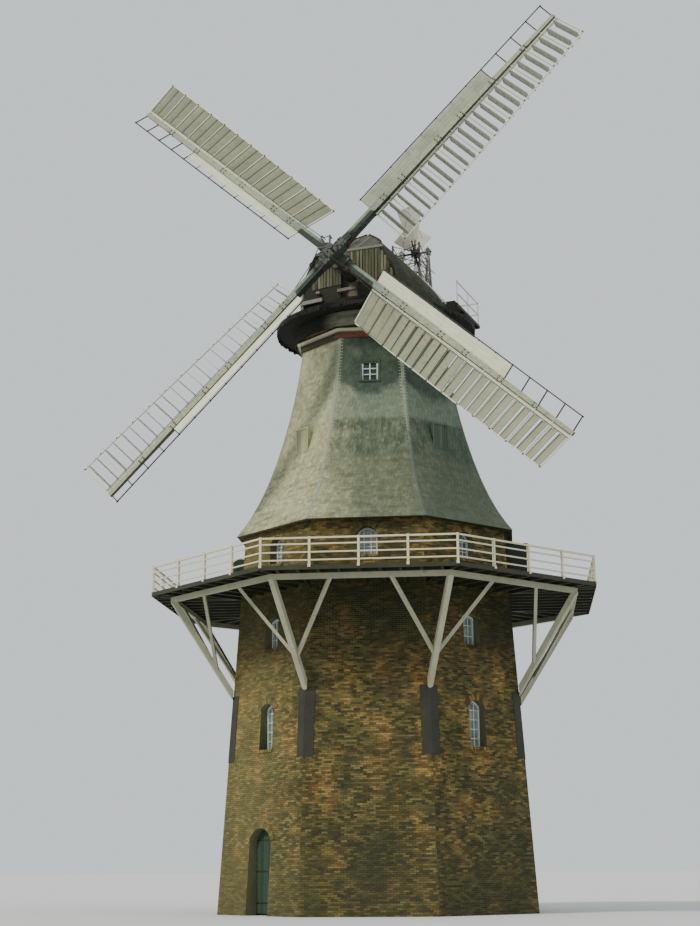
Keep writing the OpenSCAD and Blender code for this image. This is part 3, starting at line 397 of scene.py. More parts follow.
LOW_WINDOW = (0.78, 1.70, 5.83, 0.28)
MID_WINDOW = (0.78, 1.18, 9.54, 0.14)
TOP_WINDOW = (0.78, 1.08, 12.78, 0.45)
STAGE_DOOR = (0.90, 1.95, DECK_Z, 0.30)
GROUND_DOOR = (1.30, 3.05, 0.0, 0.35)
OPENINGS = {
    0: [TOP_WINDOW], 1: [LOW_WINDOW, MID_WINDOW, TOP_WINDOW], 2: [STAGE_DOOR],
    3: [LOW_WINDOW, MID_WINDOW, TOP_WINDOW], 4: [TOP_WINDOW],
    5: [LOW_WINDOW, MID_WINDOW, TOP_WINDOW], 6: [STAGE_DOOR],
    7: [LOW_WINDOW, MID_WINDOW, TOP_WINDOW, GROUND_DOOR]}


def arch_radius(w, rise):
    return w * (0.25 + rise * rise) / (2 * rise)


def clear_opening(piece, w, h, sill, rise):
    """Saws the courses at the jambs and takes out what lies in the opening."""
    near = lambda c: (abs(c[:, 0]) < w) & (c[:, 2] > sill - 0.2) & (c[:, 2] < sill + h + 0.2)
    for x in (-w / 2, w / 2):
        cut(piece, (x, 0, 0), (1, 0, 0), near, False)
    if sill > 0:
        cut(piece, (0, 0, sill), (0, 0, 1), near, False)
    r = arch_radius(w, rise)
    centre = sill + h - r
    c = face_centres(piece.data)
    inside = (abs(c[:, 0]) < w / 2) & (c[:, 2] > sill) & (c[:, 2] < sill + h - w * rise + 0.01)
    ring = (np.hypot(c[:, 0], c[:, 2] - centre) < r + 0.12) & (c[:, 2] > sill + h - w * rise - 0.02)
    take_away(piece, inside | ring & (abs(c[:, 0]) < w / 2 + 0.12))


def lay_arch(w, h, sill, rise):
    """Bricks on end that turn round the head of an opening."""
    r = arch_radius(w, rise)
    spread = atan2(w / 2 + 0.03, r - w * rise)
    count = max(5, round((2 * spread * (r + ARCH_RING / 2)) / ARCH_PITCH) | 1)
    middle = r + ARCH_RING / 2
    voussoirs = []
    for i in range(count):
        a = -spread + 2 * spread * (i + 0.5) / count
        voussoirs.append(primitive(
            "cube", "voussoir", size=1, scale=(ARCH_BRICK, 0.05, ARCH_RING - 0.012), rotation=(0, a, 0),
            location=(middle * sin(a), -tower_face(sill + h) - BRICK_D / 2, sill + h - r + middle * cos(a))))
    ring = settle(join("arch", voussoirs))
    for v in ring.data.vertices:
        v.co.y += BATTER * (v.co.z - sill - h)
    each_its_own(ring, 8, len(ring.data.vertices))
    return ring


for sides in ((0, 4), (2, 6), (1, 3, 5), (7,)):
    laid = twin(brick, "laid_bricks")
    arches = []
    for opening in OPENINGS[sides[0]]:
        clear_opening(laid, *opening)
        arches.append(lay_arch(*opening))
    laid = join("laid_bricks", [laid] + arches)
    painted(laid, brick_finish)
    for k in sides:
        fixed(twin(laid, "bricks_" + SIDE_NAMES[k]), "tower", side_turn(k))
    bpy.data.objects.remove(laid)
bpy.data.objects.remove(brick)


# Arched timber windows: a frame with two uprights and cross bars, painted a worn green-white, set
# deep in the brickwork over a sloping sill of bricks on edge, with old glass behind the bars.
def wood_grain(coat, scale, fine, coarse, long_way="Z"):
    """Streaks that run the long way of the boards."""
    stretch = (coarse, fine, fine) if long_way == "X" else (fine, fine, coarse)
    return coat.noise(scale, 5, coat.stretched(*stretch))


def paint_coat(name, main, worn, under, wear=0.5, scale=1.0, long_way="Z"):
    """Brushed paint on timber, worn through along the grain and grimed by rain."""
    coat = Coat(name)
    grain = wood_grain(coat, 1.6 * scale, 22, 1.5, long_way)
    broad = coat.noise(1.1 * scale, 4)
    flake = coat.noise(5.5 * scale, 6, rough=0.75, low=0.63 - wear * 0.12, high=0.70)
    colour = coat.mix(broad, main, worn)
    colour = coat.mix(flake * (0.35 + grain * 0.65), colour, under)
    colour = coat.mix((1 - grain) * 0.22, colour, under)
    return coat.finish(colour, 0.55 + flake * 0.35, grain * 0.5 - flake * 0.6, 0.003)


SMOCK_WINDOW = (0.32, 20.05, 20.85)
ABOVE_TOWER = 18.0


def window_coat():
    """Green-white paint. The top and bottom rails of the window in the smock are coloured dark."""
    coat = Coat("window_paint")
    grain = wood_grain(coat, 3.2, 22, 1.5)
    flake = coat.noise(11, 6, rough=0.75, low=0.56, high=0.70)
    z, (low, high) = coat.axis("Z"), SMOCK_WINDOW[1:]
    rails = coat.span(z, high - 0.095, high - 0.075) + (
        coat.span(z, low + 0.075, low + 0.055) * coat.span(z, ABOVE_TOWER, ABOVE_TOWER + 0.1))
    paint = coat.mix(grain, (0.47, 0.56, 0.50), (0.60, 0.68, 0.62))
    paint = coat.mix(flake * (0.35 + grain * 0.5), paint, (0.20, 0.20, 0.16))
    return coat.finish(coat.mix(rails, paint, (0.035, 0.055, 0.042)),
                       0.55 + flake * 0.35, grain * 0.5 - flake * 0.6, 0.003)


paint_node(window_coat(), "window_frames")
glass = Coat("old_glass", specular=0.6)
ripple = glass.noise(3, 2)
# Painted shade: the glass of the window in the smock is made nearly black, for the dark room behind it.
painted_dark_interior = glass.span(glass.axis("Z"), ABOVE_TOWER, ABOVE_TOWER + 0.5)
pane = glass.mix(ripple, (0.10, 0.13, 0.13), (0.24, 0.28, 0.27))
glass.finish(glass.mix(painted_dark_interior * 0.85, pane, (0.012, 0.020, 0.016)),
             0.09 + ripple * 0.08 + painted_dark_interior * 0.2, ripple, 0.004)
paint_node(glass.material, "window_glass")

sill_bricks = []
for w, h, sill, rise in (LOW_WINDOW, MID_WINDOW, TOP_WINDOW):
    for i in range(11):
        sill_bricks.append(primitive(
            "cube", "sill_brick", size=1, scale=(0.068, 0.22, 0.11),
            location=(-0.40 + 0.08 * i, -tower_face(sill) + 0.05, sill - 0.052),
            rotation=(radians(-14), 0, 0)))
sill_row = settle(join("sill_row", sill_bricks))
each_its_own(sill_row, 8, 31)
painted(sill_row, brick_finish)
for k in (0, 1, 3, 4, 5, 7):
    sills = twin(sill_row, "sills_" + SIDE_NAMES[k])
    if OPENINGS[k] == [TOP_WINDOW]:
        take_away(sills, face_centres(sills.data)[:, 2] < DECK_Z)
    fixed(sills, "tower", side_turn(k))
bpy.data.objects.remove(sill_row)


# Doors of upright planks on ledges, painted dark green. The ground door hangs on long strap hinges.
# The leaf of the left stage door stands open, and the porch on the right has weatherboarded cheeks.
def bevelled(piece, width):
    choose(piece)
    edge = piece.modifiers.new("edge", "BEVEL")
    edge.width = width
    edge.segments = 1
    edge.limit_method = "ANGLE"
    bpy.ops.object.modifier_apply(modifier="edge")
    return piece


def board(size, location, rotation=(0, 0, 0)):
    return primitive("cube", "board", size=1, scale=size, location=location, rotation=rotation)


def boarding(name, boards, material, body, turn=None, seed=1, edge=0.004):
    piece = settle(join(name, boards))
    each_its_own(piece, 8, seed)
    if edge:
        bevelled(piece, edge)
    return fixed(painted(piece, material), body, turn)


def board_coat(name, dark, pale, long_way="Z", moss=(0.05, 0.06, 0.03), mossy=0.2):
    """Bare or painted boards, each with its own shade, grain, stains and grime."""
    coat = Coat(name)
    one = coat.given("shade")
    grain = wood_grain(coat, 1.5, 26, 1.2, long_way)
    stain = coat.noise(1.4, 5, rough=0.7, low=0.45, high=0.7)
    colour = coat.mix(one * 0.62 + grain * 0.38, dark, pale)
    colour = coat.mix(stain * mossy, colour, moss)
    return coat.finish(colour, 0.8 + grain * 0.12, grain + one * 0.2, 0.004)


green_boards = board_coat("green_door_boards", (0.012, 0.030, 0.018), (0.035, 0.070, 0.042), mossy=0.3)
paint_node(paint_coat("door_paint", (0.020, 0.045, 0.028), (0.035, 0.065, 0.042), (0.012, 0.014, 0.010)),
           "ground_door", "stage_doors")
leaf_y = -(tower_face(3.05) - 0.28) + 0.010
planks = [board((0.152, 0.014, 3.02), (-0.72 + 0.16 * (i + 0.5), leaf_y - 0.001, 1.585)) for i in range(9)]
boarding("ground_door_planks", planks, green_boards, "ground_door", side_turn(7), 41)
ledges = [board((1.30, 0.030, 0.14), (0, leaf_y + 0.074, z)) for z in (0.55, 1.65, 2.75)]
ledges.append(board((0.12, 0.028, 1.55), (0, leaf_y + 0.073, 1.10), (0, radians(48), 0)))
boarding("ground_door_ledges", ledges, green_boards, "ground_door", side_turn(7), 42)

iron = Coat("painted_iron", metallic=0.6, specular=0.5)
rust = iron.noise(8, 5, rough=0.7, low=0.48, high=0.68)
iron_finish = iron.finish(iron.mix(rust, (0.028, 0.032, 0.028), (0.13, 0.055, 0.025)),
                          0.45 + rust * 0.4, iron.noise(50, 3), 0.002)
paint_node(iron_finish, "door_pintles")
straps = []
for z in (0.435, 1.535, 2.635):
    straps.append(board((0.95, 0.010, 0.055), (-0.21, leaf_y - 0.010, z)))
    for i in range(5):
        straps.append(primitive("uv_sphere", "rivet", segments=8, ring_count=4, radius=0.012,
                                location=(-0.62 + 0.2 * i, leaf_y - 0.015, z)))
latch = primitive("torus", "latch_ring", major_radius=0.05, minor_radius=0.008, major_segments=20,
                  minor_segments=6, location=(0.55, leaf_y - 0.022, 1.15), rotation=(pi / 2, 0, 0))
door_iron = painted(settle(join("ground_door_straps", straps + [latch])), iron_finish)
fixed(door_iron, "ground_door", side_turn(7))

face = tower_face(DECK_Z)
STAGE_PLANK, PLANK_STEP, PLANK_MIDDLE = 0.118, 0.124, DECK_Z + 0.85
planks = [board((STAGE_PLANK, 0.012, 1.66), (PLANK_STEP * i - 0.37, -face + 0.294, PLANK_MIDDLE))
          for i in range(7)]
boarding("right_stage_door_planks", planks, green_boards, "tower", side_turn(2), 43)
leaf = (side_turn(6) @ Matrix.Translation((-0.446, -face - 0.005, 0))
        @ Matrix.Rotation(radians(-88), 4, "Z") @ Matrix.Translation((0.45, 0, 0)))
planks = [board((STAGE_PLANK, 0.080, 1.66), (PLANK_STEP * i - 0.37, -0.030, PLANK_MIDDLE)) for i in range(7)]
boarding("left_stage_door_planks", planks, green_boards, "tower", leaf, 44)

porch_finish = paint_coat("porch_paint", (0.020, 0.034, 0.030), (0.040, 0.058, 0.050), (0.012, 0.012, 0.010))
paint_node(porch_finish, "stage_porch")
cheeks = []
for s in (-1, 1):
    for i in range(13):
        cheeks.append(board((0.016, 0.765, 0.165), (s * 0.655, -face - 0.39, DECK_Z + 0.10 + 0.155 * i),
                            (0, s * radians(4), 0)))
for i in range(6):
    cheeks.append(board((1.36, 0.150, 0.018), (0, -face - 0.045 - 0.135 * i, DECK_Z + 2.065),
                        (radians(3), 0, 0)))
cladding_finish = board_coat("porch_cladding", (0.018, 0.026, 0.022), (0.050, 0.062, 0.052), "X")
boarding("porch_boards", cheeks, cladding_finish, "tower", side_turn(2), 45)
paint_node(brick_coat("floor_paving", False), "ground_floor")
strip_tar = paint_coat("tarred_strips", (0.021, 0.021, 0.013), (0.036, 0.035, 0.022), (0.011, 0.011, 0.006))
paint_node(strip_tar, "corner_strips")


# The stage: a tarred deck whose boards run along each side, on joists and a pale beam, held up by
# painted struts that branch like a tree. The posts of its rail stand on short blocks at the edge.
RAIL_R, RAIL_H, DECK_R = 9.0, 1.0, 9.06
FOOT_PROUD = 0.036


def deck_coat():
    coat = Coat("tarred_deck")
    x, y = coat.axis("X"), coat.axis("Y")
    larger = lambda a, b: coat.node("ShaderNodeMath", {"operation": "MAXIMUM"}, {0: a, 1: b})
    out = larger(larger(abs(x), abs(y)), larger(abs(x + y) * sqrt(0.5), abs(x - y) * sqrt(0.5)))
    row = out / 0.165
    number = floor(row)
    one = coat.node("ShaderNodeTexWhiteNoise", {"noise_dimensions": "1D"}, {"W": number})
    joint = coat.span(row % 1.0, 0.07, 0.02)
    grime = coat.noise(1.2, 5)
    grain = coat.noise(18, 4)
    colour = coat.mix(one * 0.6 + grain * 0.4, (0.015, 0.016, 0.009), (0.042, 0.043, 0.025))
    colour = coat.mix(grime * 0.4, colour, (0.024, 0.030, 0.014))
    colour = coat.mix(joint, colour, (0.006, 0.005, 0.004))
    return coat.finish(colour, 0.82 + grain * 0.1, grain * 0.4 - joint, 0.006)


paint_node(deck_coat(), "stage_deck_straight", "stage_deck_diagonal")
joist_finish = paint_coat("joist_tar", (0.024, 0.026, 0.012), (0.042, 0.044, 0.022), (0.012, 0.013, 0.006))
paint_node(joist_finish, "stage_joists")
strut_finish = paint_coat("strut_paint", (0.46, 0.45, 0.32), (0.36, 0.36, 0.25), (0.15, 0.14, 0.09), 0.4)
paint_node(strut_finish, "stage_ring_beam", "stage_struts")
rail_finish = paint_coat("rail_paint", (0.70, 0.65, 0.44), (0.60, 0.56, 0.39), (0.27, 0.21, 0.12), 0.5, 2)
paint_node(rail_finish, "railing_straight", "railing_diagonal")

post_span = 2 * RAIL_R * sin(pi / 8)
for k, side in enumerate(SIDE_NAMES):
    proud = 0.0 if side == "back" else FOOT_PROUD
    feet = []
    for i in range(5) if k % 2 == 0 else range(1, 4):
        x = -post_span / 2 + post_span * i / 4
        feet.append(board((0.10, 0.12, 0.11), (x, -DECK_R * FLAT + 0.06 - proud, DECK_Z - 0.02)))
        feet.append(board((0.10, 0.10, 0.016), (x, -RAIL_R * FLAT, DECK_Z + RAIL_H + 0.008)))
    boarding("rail_feet_" + side, feet, rail_finish, "tower", side_turn(k), 50 + k, 0.008)
    planks = [board((2 * DECK_R * sin(pi / 8) - 0.04, 0.022, 0.15),
                    (0, -DECK_R * FLAT + 0.0115 - proud * 0.2, DECK_Z - 0.085))]
    boarding("deck_fascia_" + side, planks, joist_finish, "tower", side_turn(k), 60 + k)


# The smock: eight flared timber sides hung with small oak shingles in level courses, closed at the
# corners by pale hip strips. Rain has streaked them green and black, and the left sides are bleached.
# A painted shadow of the cap darkens the top of the other sides.
SMOCK_TOP, SKIRT_R, SMOCK_R = 21.92, 5.75, 3.08
HATCH = (0.31, 17.35, 18.25)
SHINGLE_W, SHINGLE_H, COURSE = 0.165, 0.19, 0.135
SMOCK_STEPS = [TOWER_H + (SMOCK_TOP - TOWER_H) * (i / 10) ** 1.4 for i in range(11)]


def flare(z):
    u = (SMOCK_TOP - z) / (SMOCK_TOP - TOWER_H)
    return (SMOCK_R + (SKIRT_R - SMOCK_R) * (0.36 * u + 0.5 * u * u + 0.14 * u ** 8)) * FLAT


def smock_coat(name, own):
    coat = Coat(name, specular=0.2)
    one = coat.given("shade") if own else coat.noise(6, 2)
    streak = coat.noise(1.0, 5, coat.stretched(3.2, 3.2, 0.22), rough=0.65, low=0.4, high=0.68)
    fine = coat.noise(1.0, 4, coat.stretched(24, 24, 2.0))
    cloud = coat.noise(0.55, 4, rough=0.6)
    depth = abs(coat.axis("Y"))
    beyond_hip = coat.span(coat.axis("X") + depth * 0.414, 0.03, -0.05)
    leftward = coat.axis("X") * 0.8 + coat.axis("Y") * 0.25
    bleach = coat.span(leftward + cloud * (1.3 - beyond_hip * 0.9), -0.7, -2.2)
    shade = one * 0.45 + fine * 0.25 + cloud * 0.3
    grey = coat.ramp(shade, (0.0, (0.070, 0.084, 0.056)), (0.5, (0.135, 0.155, 0.100)),
                     (1.0, (0.225, 0.240, 0.165)))
    pale = coat.ramp(shade, (0.0, (0.205, 0.200, 0.118)), (0.5, (0.375, 0.365, 0.215)),
                     (1.0, (0.55, 0.53, 0.34)))
    across = coat.given("across")
    z = coat.axis("Z")
    wet = 1 - bleach * 0.92
    # Painted shadow of the cap: a dark green band with a scalloped lower edge at the top of the sides that
    # are not bleached.
    eaves = coat.span(z - across * across * 0.65 + cloud * 0.9, 19.55, 19.95)
    rinsed = coat.span(z + streak * 0.12, 18.40, 18.55)
    level = coat.noise(1.0, 4, coat.stretched(0.9, 0.9, 7.5), rough=0.7, low=0.48, high=0.66)
    lower = coat.span(z + one * 0.15, 17.00, 16.80)
    drips = coat.noise(1.0, 5, coat.stretched(6.5, 6.5, 0.10), rough=0.7, low=0.42, high=0.62)
    grey = coat.mix(rinsed * 0.72, grey, coat.mix(shade, (0.125, 0.165, 0.118), (0.215, 0.255, 0.185)))
    grey = coat.mix(lower * 0.6, grey, coat.mix(shade, (0.115, 0.120, 0.070), (0.235, 0.235, 0.150)))
    colour = coat.mix(bleach, grey, pale)
    colour = coat.mix(streak * (0.40 - bleach * 0.22) * (1 - rinsed * 0.6), colour, (0.040, 0.056, 0.038))
    colour = coat.mix(drips * (1 - rinsed) * (1 - lower * 0.75) * wet * 0.74, colour, (0.040, 0.062, 0.038))
    colour = coat.mix(level * lower * 0.5, colour, (0.066, 0.066, 0.036))
    moss = coat.noise(2.2, 6, rough=0.75, low=0.55, high=0.72)
    colour = coat.mix(moss * 0.3, colour, (0.075, 0.085, 0.040))
    dark_green = coat.mix(shade, (0.022, 0.038, 0.028), (0.060, 0.085, 0.058))
    colour = coat.mix(eaves * wet * 0.88, colour, dark_green)
    wet_side = coat.span(coat.axis("X") + cloud * 0.8, 1.7, 3.3)
    colour = coat.mix(wet_side * (0.55 - rinsed * 0.3), colour, (0.040, 0.066, 0.048))
    return coat.finish(colour, 0.84 + fine * 0.12, fine * 0.7 + one * 0.3, 0.005)


shingle_finish = smock_coat("smock_shingles", True)
paint_node(smock_coat("smock_under_shingles", False), "smock_straight_sides", "smock_diagonal_sides")


def hip_coat():
    """Pale paint that has lasted on the left corners, and only near the top on the wet ones."""
    coat = Coat("hip_strips")
    grain = wood_grain(coat, 2.4, 22, 1.5)
    flake = coat.noise(3.0, 6, rough=0.75, low=0.50, high=0.66)
    lost = coat.span(coat.axis("X") * 0.9 - (coat.axis("Z") - 17.5) * 0.55 + flake * 1.2, 0.2, 1.8)
    paint = coat.mix(grain, (0.23, 0.25, 0.18), (0.36, 0.37, 0.28))
    colour = coat.mix(flake * 0.5, paint, (0.10, 0.11, 0.075))
    colour = coat.mix(lost * 0.85, colour, (0.072, 0.092, 0.066))
    return coat.finish(colour, 0.7 + grain * 0.15, grain * 0.5 - flake * 0.4, 0.003)


hip_finish = hip_coat()
paint_node(hip_finish, "smock_hips")
paint_node(smock_coat("hatch_leaves", False), "smock_hatches")


def within(centres, hole, more):
    """Which faces lie in an opening, or at most a little beyond it."""
    half, low, high = hole
    x, z = abs(centres[:, 0]), centres[:, 2]
    return (x < half + more) & (z > low - more) & (z < high + more)


profile = [(flare(z), z) for z in SMOCK_STEPS]
courses = []
number = 0
for (a0, z0), (a1, z1) in zip(profile, profile[1:]):
    length = hypot(a0 - a1, z1 - z0)
    rows = max(1, round(length / COURSE))
    lean = atan2(a0 - a1, z1 - z0)
    for j in range(rows):
        f = j / rows
        a, z = a0 + (a1 - a0) * f, z0 + (z1 - z0) * f
        wide = 2 * a * tan(pi / 8) + 0.4
        count = ceil(wide / SHINGLE_W) + 1
        shingle = primitive("cube", "shingle", size=1, scale=(SHINGLE_W - 0.007, 0.012, SHINGLE_H),
                            location=(-count * SHINGLE_W / 2 + (number % 3) * 0.055, -0.009, SHINGLE_H / 2))
        settle(shingle)
        take_away(shingle, face_centres(shingle.data)[:, 1] > -0.004)
        repeat(shingle, count, (SHINGLE_W, 0, 0))
        shingle.rotation_euler = (-lean + radians(2.2), 0, 0)
        shingle.location = (0, -a - 0.006, z)
        settle(shingle)
        courses.append(shingle)
        number += 1
smock_side = join("smock_side", courses)
each_its_own(smock_side, 8, 5)
cut(smock_side, (0, 0, SMOCK_TOP - 0.002), (0, 0, 1))
for end in (-1, 1):
    cut(smock_side, (-end * 0.02, 0, 0), (end * FLAT, sin(pi / 8), 0))
places = np.empty(len(smock_side.data.vertices) * 3)
smock_side.data.vertices.foreach_get("co", places)
half_widths = [flare(min(max(z, TOWER_H), SMOCK_TOP)) * tan(pi / 8) for z in places[2::3]]
smock_side.data.attributes.new("across", "FLOAT", "POINT").data.foreach_set(
    "value", (places[::3] / half_widths).astype(np.float32))
painted(smock_side, shingle_finish)
for k in range(8):
    side = twin(smock_side, "shingles_" + SIDE_NAMES[k])
    if k in (0, 1, 7):
        hole = SMOCK_WINDOW if k == 0 else HATCH
        half, low, high = hole
        for point, normal in (((-half, 0, 0), (1, 0, 0)), ((half, 0, 0), (1, 0, 0)),
                              ((0, 0, low), (0, 0, 1)), ((0, 0, high), (0, 0, 1))):
            cut(side, point, normal, lambda c: within(c, hole, 0.3), False)
        take_away(side, within(face_centres(side.data), hole, 0))
    fixed(side, "tower", side_turn(k))
bpy.data.objects.remove(smock_side)

HIP_W, HIP_T = 0.055, 0.016
hip_boards = []
for (a0, z0), (a1, z1) in zip(profile, profile[1:]):
    out = Vector((0, z0 - z1, a0 - a1)).normalized()
    for s in (-1, 1):
        p, q = (Vector((s * (a * tan(pi / 8) - HIP_W / 2), -a, z)) for a, z in ((a0, z0), (a1, z1)))
        along = (q - p).normalized()
        hip_boards.append(placed(
            board((HIP_W, HIP_T, (q - p).length + 0.004), (0, 0, 0)),
            Matrix.Translation((p + q) / 2 + out * 0.026)
            @ Matrix((along.cross(out), -out, along)).transposed().to_4x4()))
hip_pair = join("hip_pair", hip_boards)
hip_corners = [hip_pair]
for k in range(1, 8):
    hip_corners.append(twin(hip_pair, "hip_pair"))
    hip_corners[k].data.transform(side_turn(k))
boarding("hip_boards", hip_corners, hip_finish, "tower", None, 70, 0)

low, high = SMOCK_WINDOW[1:]
window_trim = [board((0.84, 0.05, 0.07), (0, -flare(high) - 0.03, high + 0.04)),
               board((0.84, 0.12, 0.05), (0, -flare(low) - 0.03, low - 0.03))]
jamb_y, jamb_z = -(flare(low) + flare(high)) / 2 - 0.03, (low + high) / 2
jamb_lean = (-atan2(flare(low) - flare(high), high - low), 0, 0)
window_trim += [board((0.07, 0.05, 0.86), (s * 0.36, jamb_y, jamb_z), jamb_lean) for s in (-1, 1)]
boarding("smock_window_trim", window_trim, smock_coat("window_trim", True), "tower", None, 71)
for k in (1, 7):
    low, high = HATCH[1:]
    hatch_y, middle = -flare(low) - 0.024, (low + high) / 2
    trim = [board((0.76, 0.05, 0.07), (0, hatch_y, high + 0.04)),
            board((0.76, 0.07, 0.06), (0, hatch_y, low - 0.02))]
    trim += [board((0.07, 0.05, 0.96), (s * 0.35, hatch_y, middle)) for s in (-1, 1)]
    trim += [board((0.115, 0.022, 0.88), (-0.24 + 0.12 * i, hatch_y, middle)) for i in range(5)]
    boarding("hatch_boards_" + SIDE_NAMES[k], trim, shingle_finish, "tower", side_turn(k), 72 + k)


# The curb: a timber ring on top of the smock with a red-brown band and a pale drip board, nailed on
# in lengths. The cap turns on it.
band = Coat("curb_red")
grain = band.noise(1.5, 5, band.stretched(1.2, 1.2, 20))
grime = band.span(band.axis("X") + band.noise(1.2, 4) * 0.7, -0.5, -1.1)
red = band.mix(grain, (0.115, 0.034, 0.020), (0.185, 0.068, 0.042))
band.finish(band.mix(grime, red, (0.040, 0.032, 0.020)), 0.7 + grain * 0.15, grain, 0.003)
paint_node(band.material, "curb_band_red")
curb_paint = paint_coat("curb_pale", (0.52, 0.48, 0.35), (0.40, 0.37, 0.27), (0.16, 0.13, 0.085), 0.5, 1, "X")
paint_node(curb_paint, "curb_band_pale")
timber_finish = paint_coat("sawn_timber", (0.16, 0.115, 0.070), (0.11, 0.080, 0.050),
                           (0.050, 0.038, 0.026), 0.4)
paint_node(timber_finish, "curb", "timber_floors", "smock_sill", "cap_ring", "weather_beam", "tail_beam")


# The cap: a boat-shaped roof under tarred shingles, with weathered upright gable boards in front, a
# drum of level boards below, and a ragged tarred skirt that throws the rain clear of the smock. The
# skirt's tar is painted darker still, as painted shade under the cap; painted shade also darkens
# the left of the drum, and a painted sheen lightens the left flank of the roof.
CAP_TURN = radians(15.5)
GABLE_Y, ROOF_Z, ROOF_RISE, ROOF_W = 3.0, 23.98, 3.1, 2.9
HIP_LOW, HIP_RUN = 1.6, 2.27
ROOF_FRONT, ROOF_BACK = 4.086, 3.6
SKIRT_RIM, SKIRT_Z = 4.05, 23.075
cap_turned = Matrix.Rotation(-CAP_TURN, 4, "Z")


def roof_share(y):
    return 1 - (y / (ROOF_FRONT if y < 0 else ROOF_BACK)) ** 2


def roof_width(y):
    return ROOF_W * sqrt(roof_share(y))


def roof_height(y):
    return ROOF_RISE * (1 if y < 0 else roof_share(y) ** (1 / 3))


def roof_power(y):
    return 1.22 + (0.48 * (y / GABLE_Y) ** 2 if y < 0 else 0.3 * (y / ROOF_BACK) ** 2)


def roof_edge(y, height):
    """Half width of the roof at distance y behind the axis and at a height above its foot."""
    u = min(max(height, 0) / roof_height(y), 1)
    return roof_width(y) * (1 - u ** roof_power(y))


def roof_coat():
    coat = Coat("cap_roof", specular=0.2)
    x, y, z = coat.axis("X"), coat.axis("Y"), coat.axis("Z")
    course = (z / 0.14) % 1.0
    number = floor(z / 0.14)
    along = (x * 0.27 - y * 0.96) / 0.17 + number * 0.37
    cell = floor(along)
    one = coat.node("ShaderNodeTexWhiteNoise", {"noise_dimensions": "2D"}, {
        "Vector": coat.node("ShaderNodeCombineXYZ", {}, {0: number, 1: cell})})
    gap = coat.span(along % 1.0, 0.06, 0.02)
    streak = coat.noise(1.0, 5, coat.stretched(3, 3, 0.3), rough=0.65, low=0.38, high=0.68)
    fine = coat.noise(20, 4)
    colour = coat.ramp(one * 0.4 + fine * 0.25 + streak * 0.35, (0.0, (0.022, 0.025, 0.016)),
                       (0.5, (0.042, 0.045, 0.028)), (1.0, (0.072, 0.074, 0.046)))
    moss = coat.noise(1.5, 6, rough=0.7, low=0.5, high=0.7)
    colour = coat.mix(moss * 0.4, colour, (0.058, 0.058, 0.028))
    # Painted sheen: the left flank of the roof is made a paler grey-green, as if light glanced off it.
    painted_sheen = coat.span(x + y * 0.28 + streak * 0.4, -1.2, -2.0)
    colour = coat.mix(painted_sheen * 0.75, colour, coat.mix(streak, (0.080, 0.125, 0.085), (0.18, 0.24, 0.17)))
    return coat.finish(colour, 0.82 + fine * 0.12, course * -0.9 - gap * 0.6 + fine * 0.4, 0.012)


paint_node(roof_coat(), "roof_left", "roof_right")


def gable_coat(name, dark, pale, brown):
    """Bare boards, grey and greenish, with brown and black runs of tar between them."""
    coat = Coat(name)
    one = coat.given("shade")
    grain = wood_grain(coat, 1.5, 26, 1.2)
    stain = coat.noise(1.8, 5, coat.stretched(2.6, 2.6, 0.5), rough=0.7, low=0.44, high=0.66)
    run = coat.noise(2.6, 4, coat.stretched(5.5, 5.5, 0.16), rough=0.7, low=0.52, high=0.60)
    colour = coat.mix(one * one * 0.72 + grain * 0.28, dark, pale)
    colour = coat.mix(stain * 0.5, colour, (0.045, 0.050, 0.026))
    colour = coat.mix(run * 0.75, colour, brown)
    return coat.finish(colour, 0.82 + grain * 0.12, grain + one * 0.2, 0.004)


gable_finish = gable_coat("gable_boards", (0.048, 0.050, 0.028), (0.27, 0.26, 0.165), (0.036, 0.022, 0.012))
backing_finish = board_coat("gable_backing", (0.020, 0.018, 0.012), (0.040, 0.034, 0.022))
paint_node(backing_finish, "gable_lower", "gable_upper")
BOARD_W = 0.128
arch_line = lambda x: 24.02 + 0.16 * (1 - (x / 1.97) ** 2)
uneven = np.random.default_rng(83)
lower = []
for i in range(-12, 16):
    x = i * BOARD_W
    reach = min(abs(x) + BOARD_W * 0.4, 1.95)
    top = min(HIP_LOW - 0.01, ROOF_RISE * (1 - reach / 1.969) ** (1 / 1.7)) + ROOF_Z
    low = arch_line(x) if abs(x) > 0.34 else 24.92
    if top - low > 0.08:
        wide, thick = BOARD_W - 0.008 - 0.034 * uneven.random() ** 2, 0.022 + 0.014 * uneven.random()
        lower.append(board((wide, thick, top - low), (x, -GABLE_Y - 0.012, (top + low) / 2),
                           (0, radians(0.35) * ((i * 7) % 5 - 2), 0)))
boarding("gable_boards_lower", lower, gable_finish, "cap", cap_turned, 81)
hip_angle = atan2(ROOF_RISE - HIP_LOW, HIP_RUN)
hip_place = (cap_turned @ Matrix.Translation((0, -GABLE_Y, ROOF_Z + HIP_LOW))
             @ Matrix.Rotation(hip_angle, 4, "X"))
upper = []
for i in range(-10, 11):
    x = i * BOARD_W
    needed = abs(x) + BOARD_W * 0.35
    fits = [v for v in np.linspace(0, HIP_RUN, 60)
            if roof_edge(-GABLE_Y + v, HIP_LOW + v * tan(hip_angle)) > needed]
    if fits:
        long = fits[-1] / cos(hip_angle) + 0.03
        upper.append(board((BOARD_W - 0.010, long, 0.024 + 0.008 * (i % 3)), (x, long / 2 - 0.03, 0.012)))
sloping_finish = gable_coat("gable_boards_sloping", (0.055, 0.054, 0.042), (0.19, 0.18, 0.145),
                            (0.035, 0.032, 0.022))
boarding("gable_boards_upper", upper, sloping_finish, "cap", hip_place, 82)
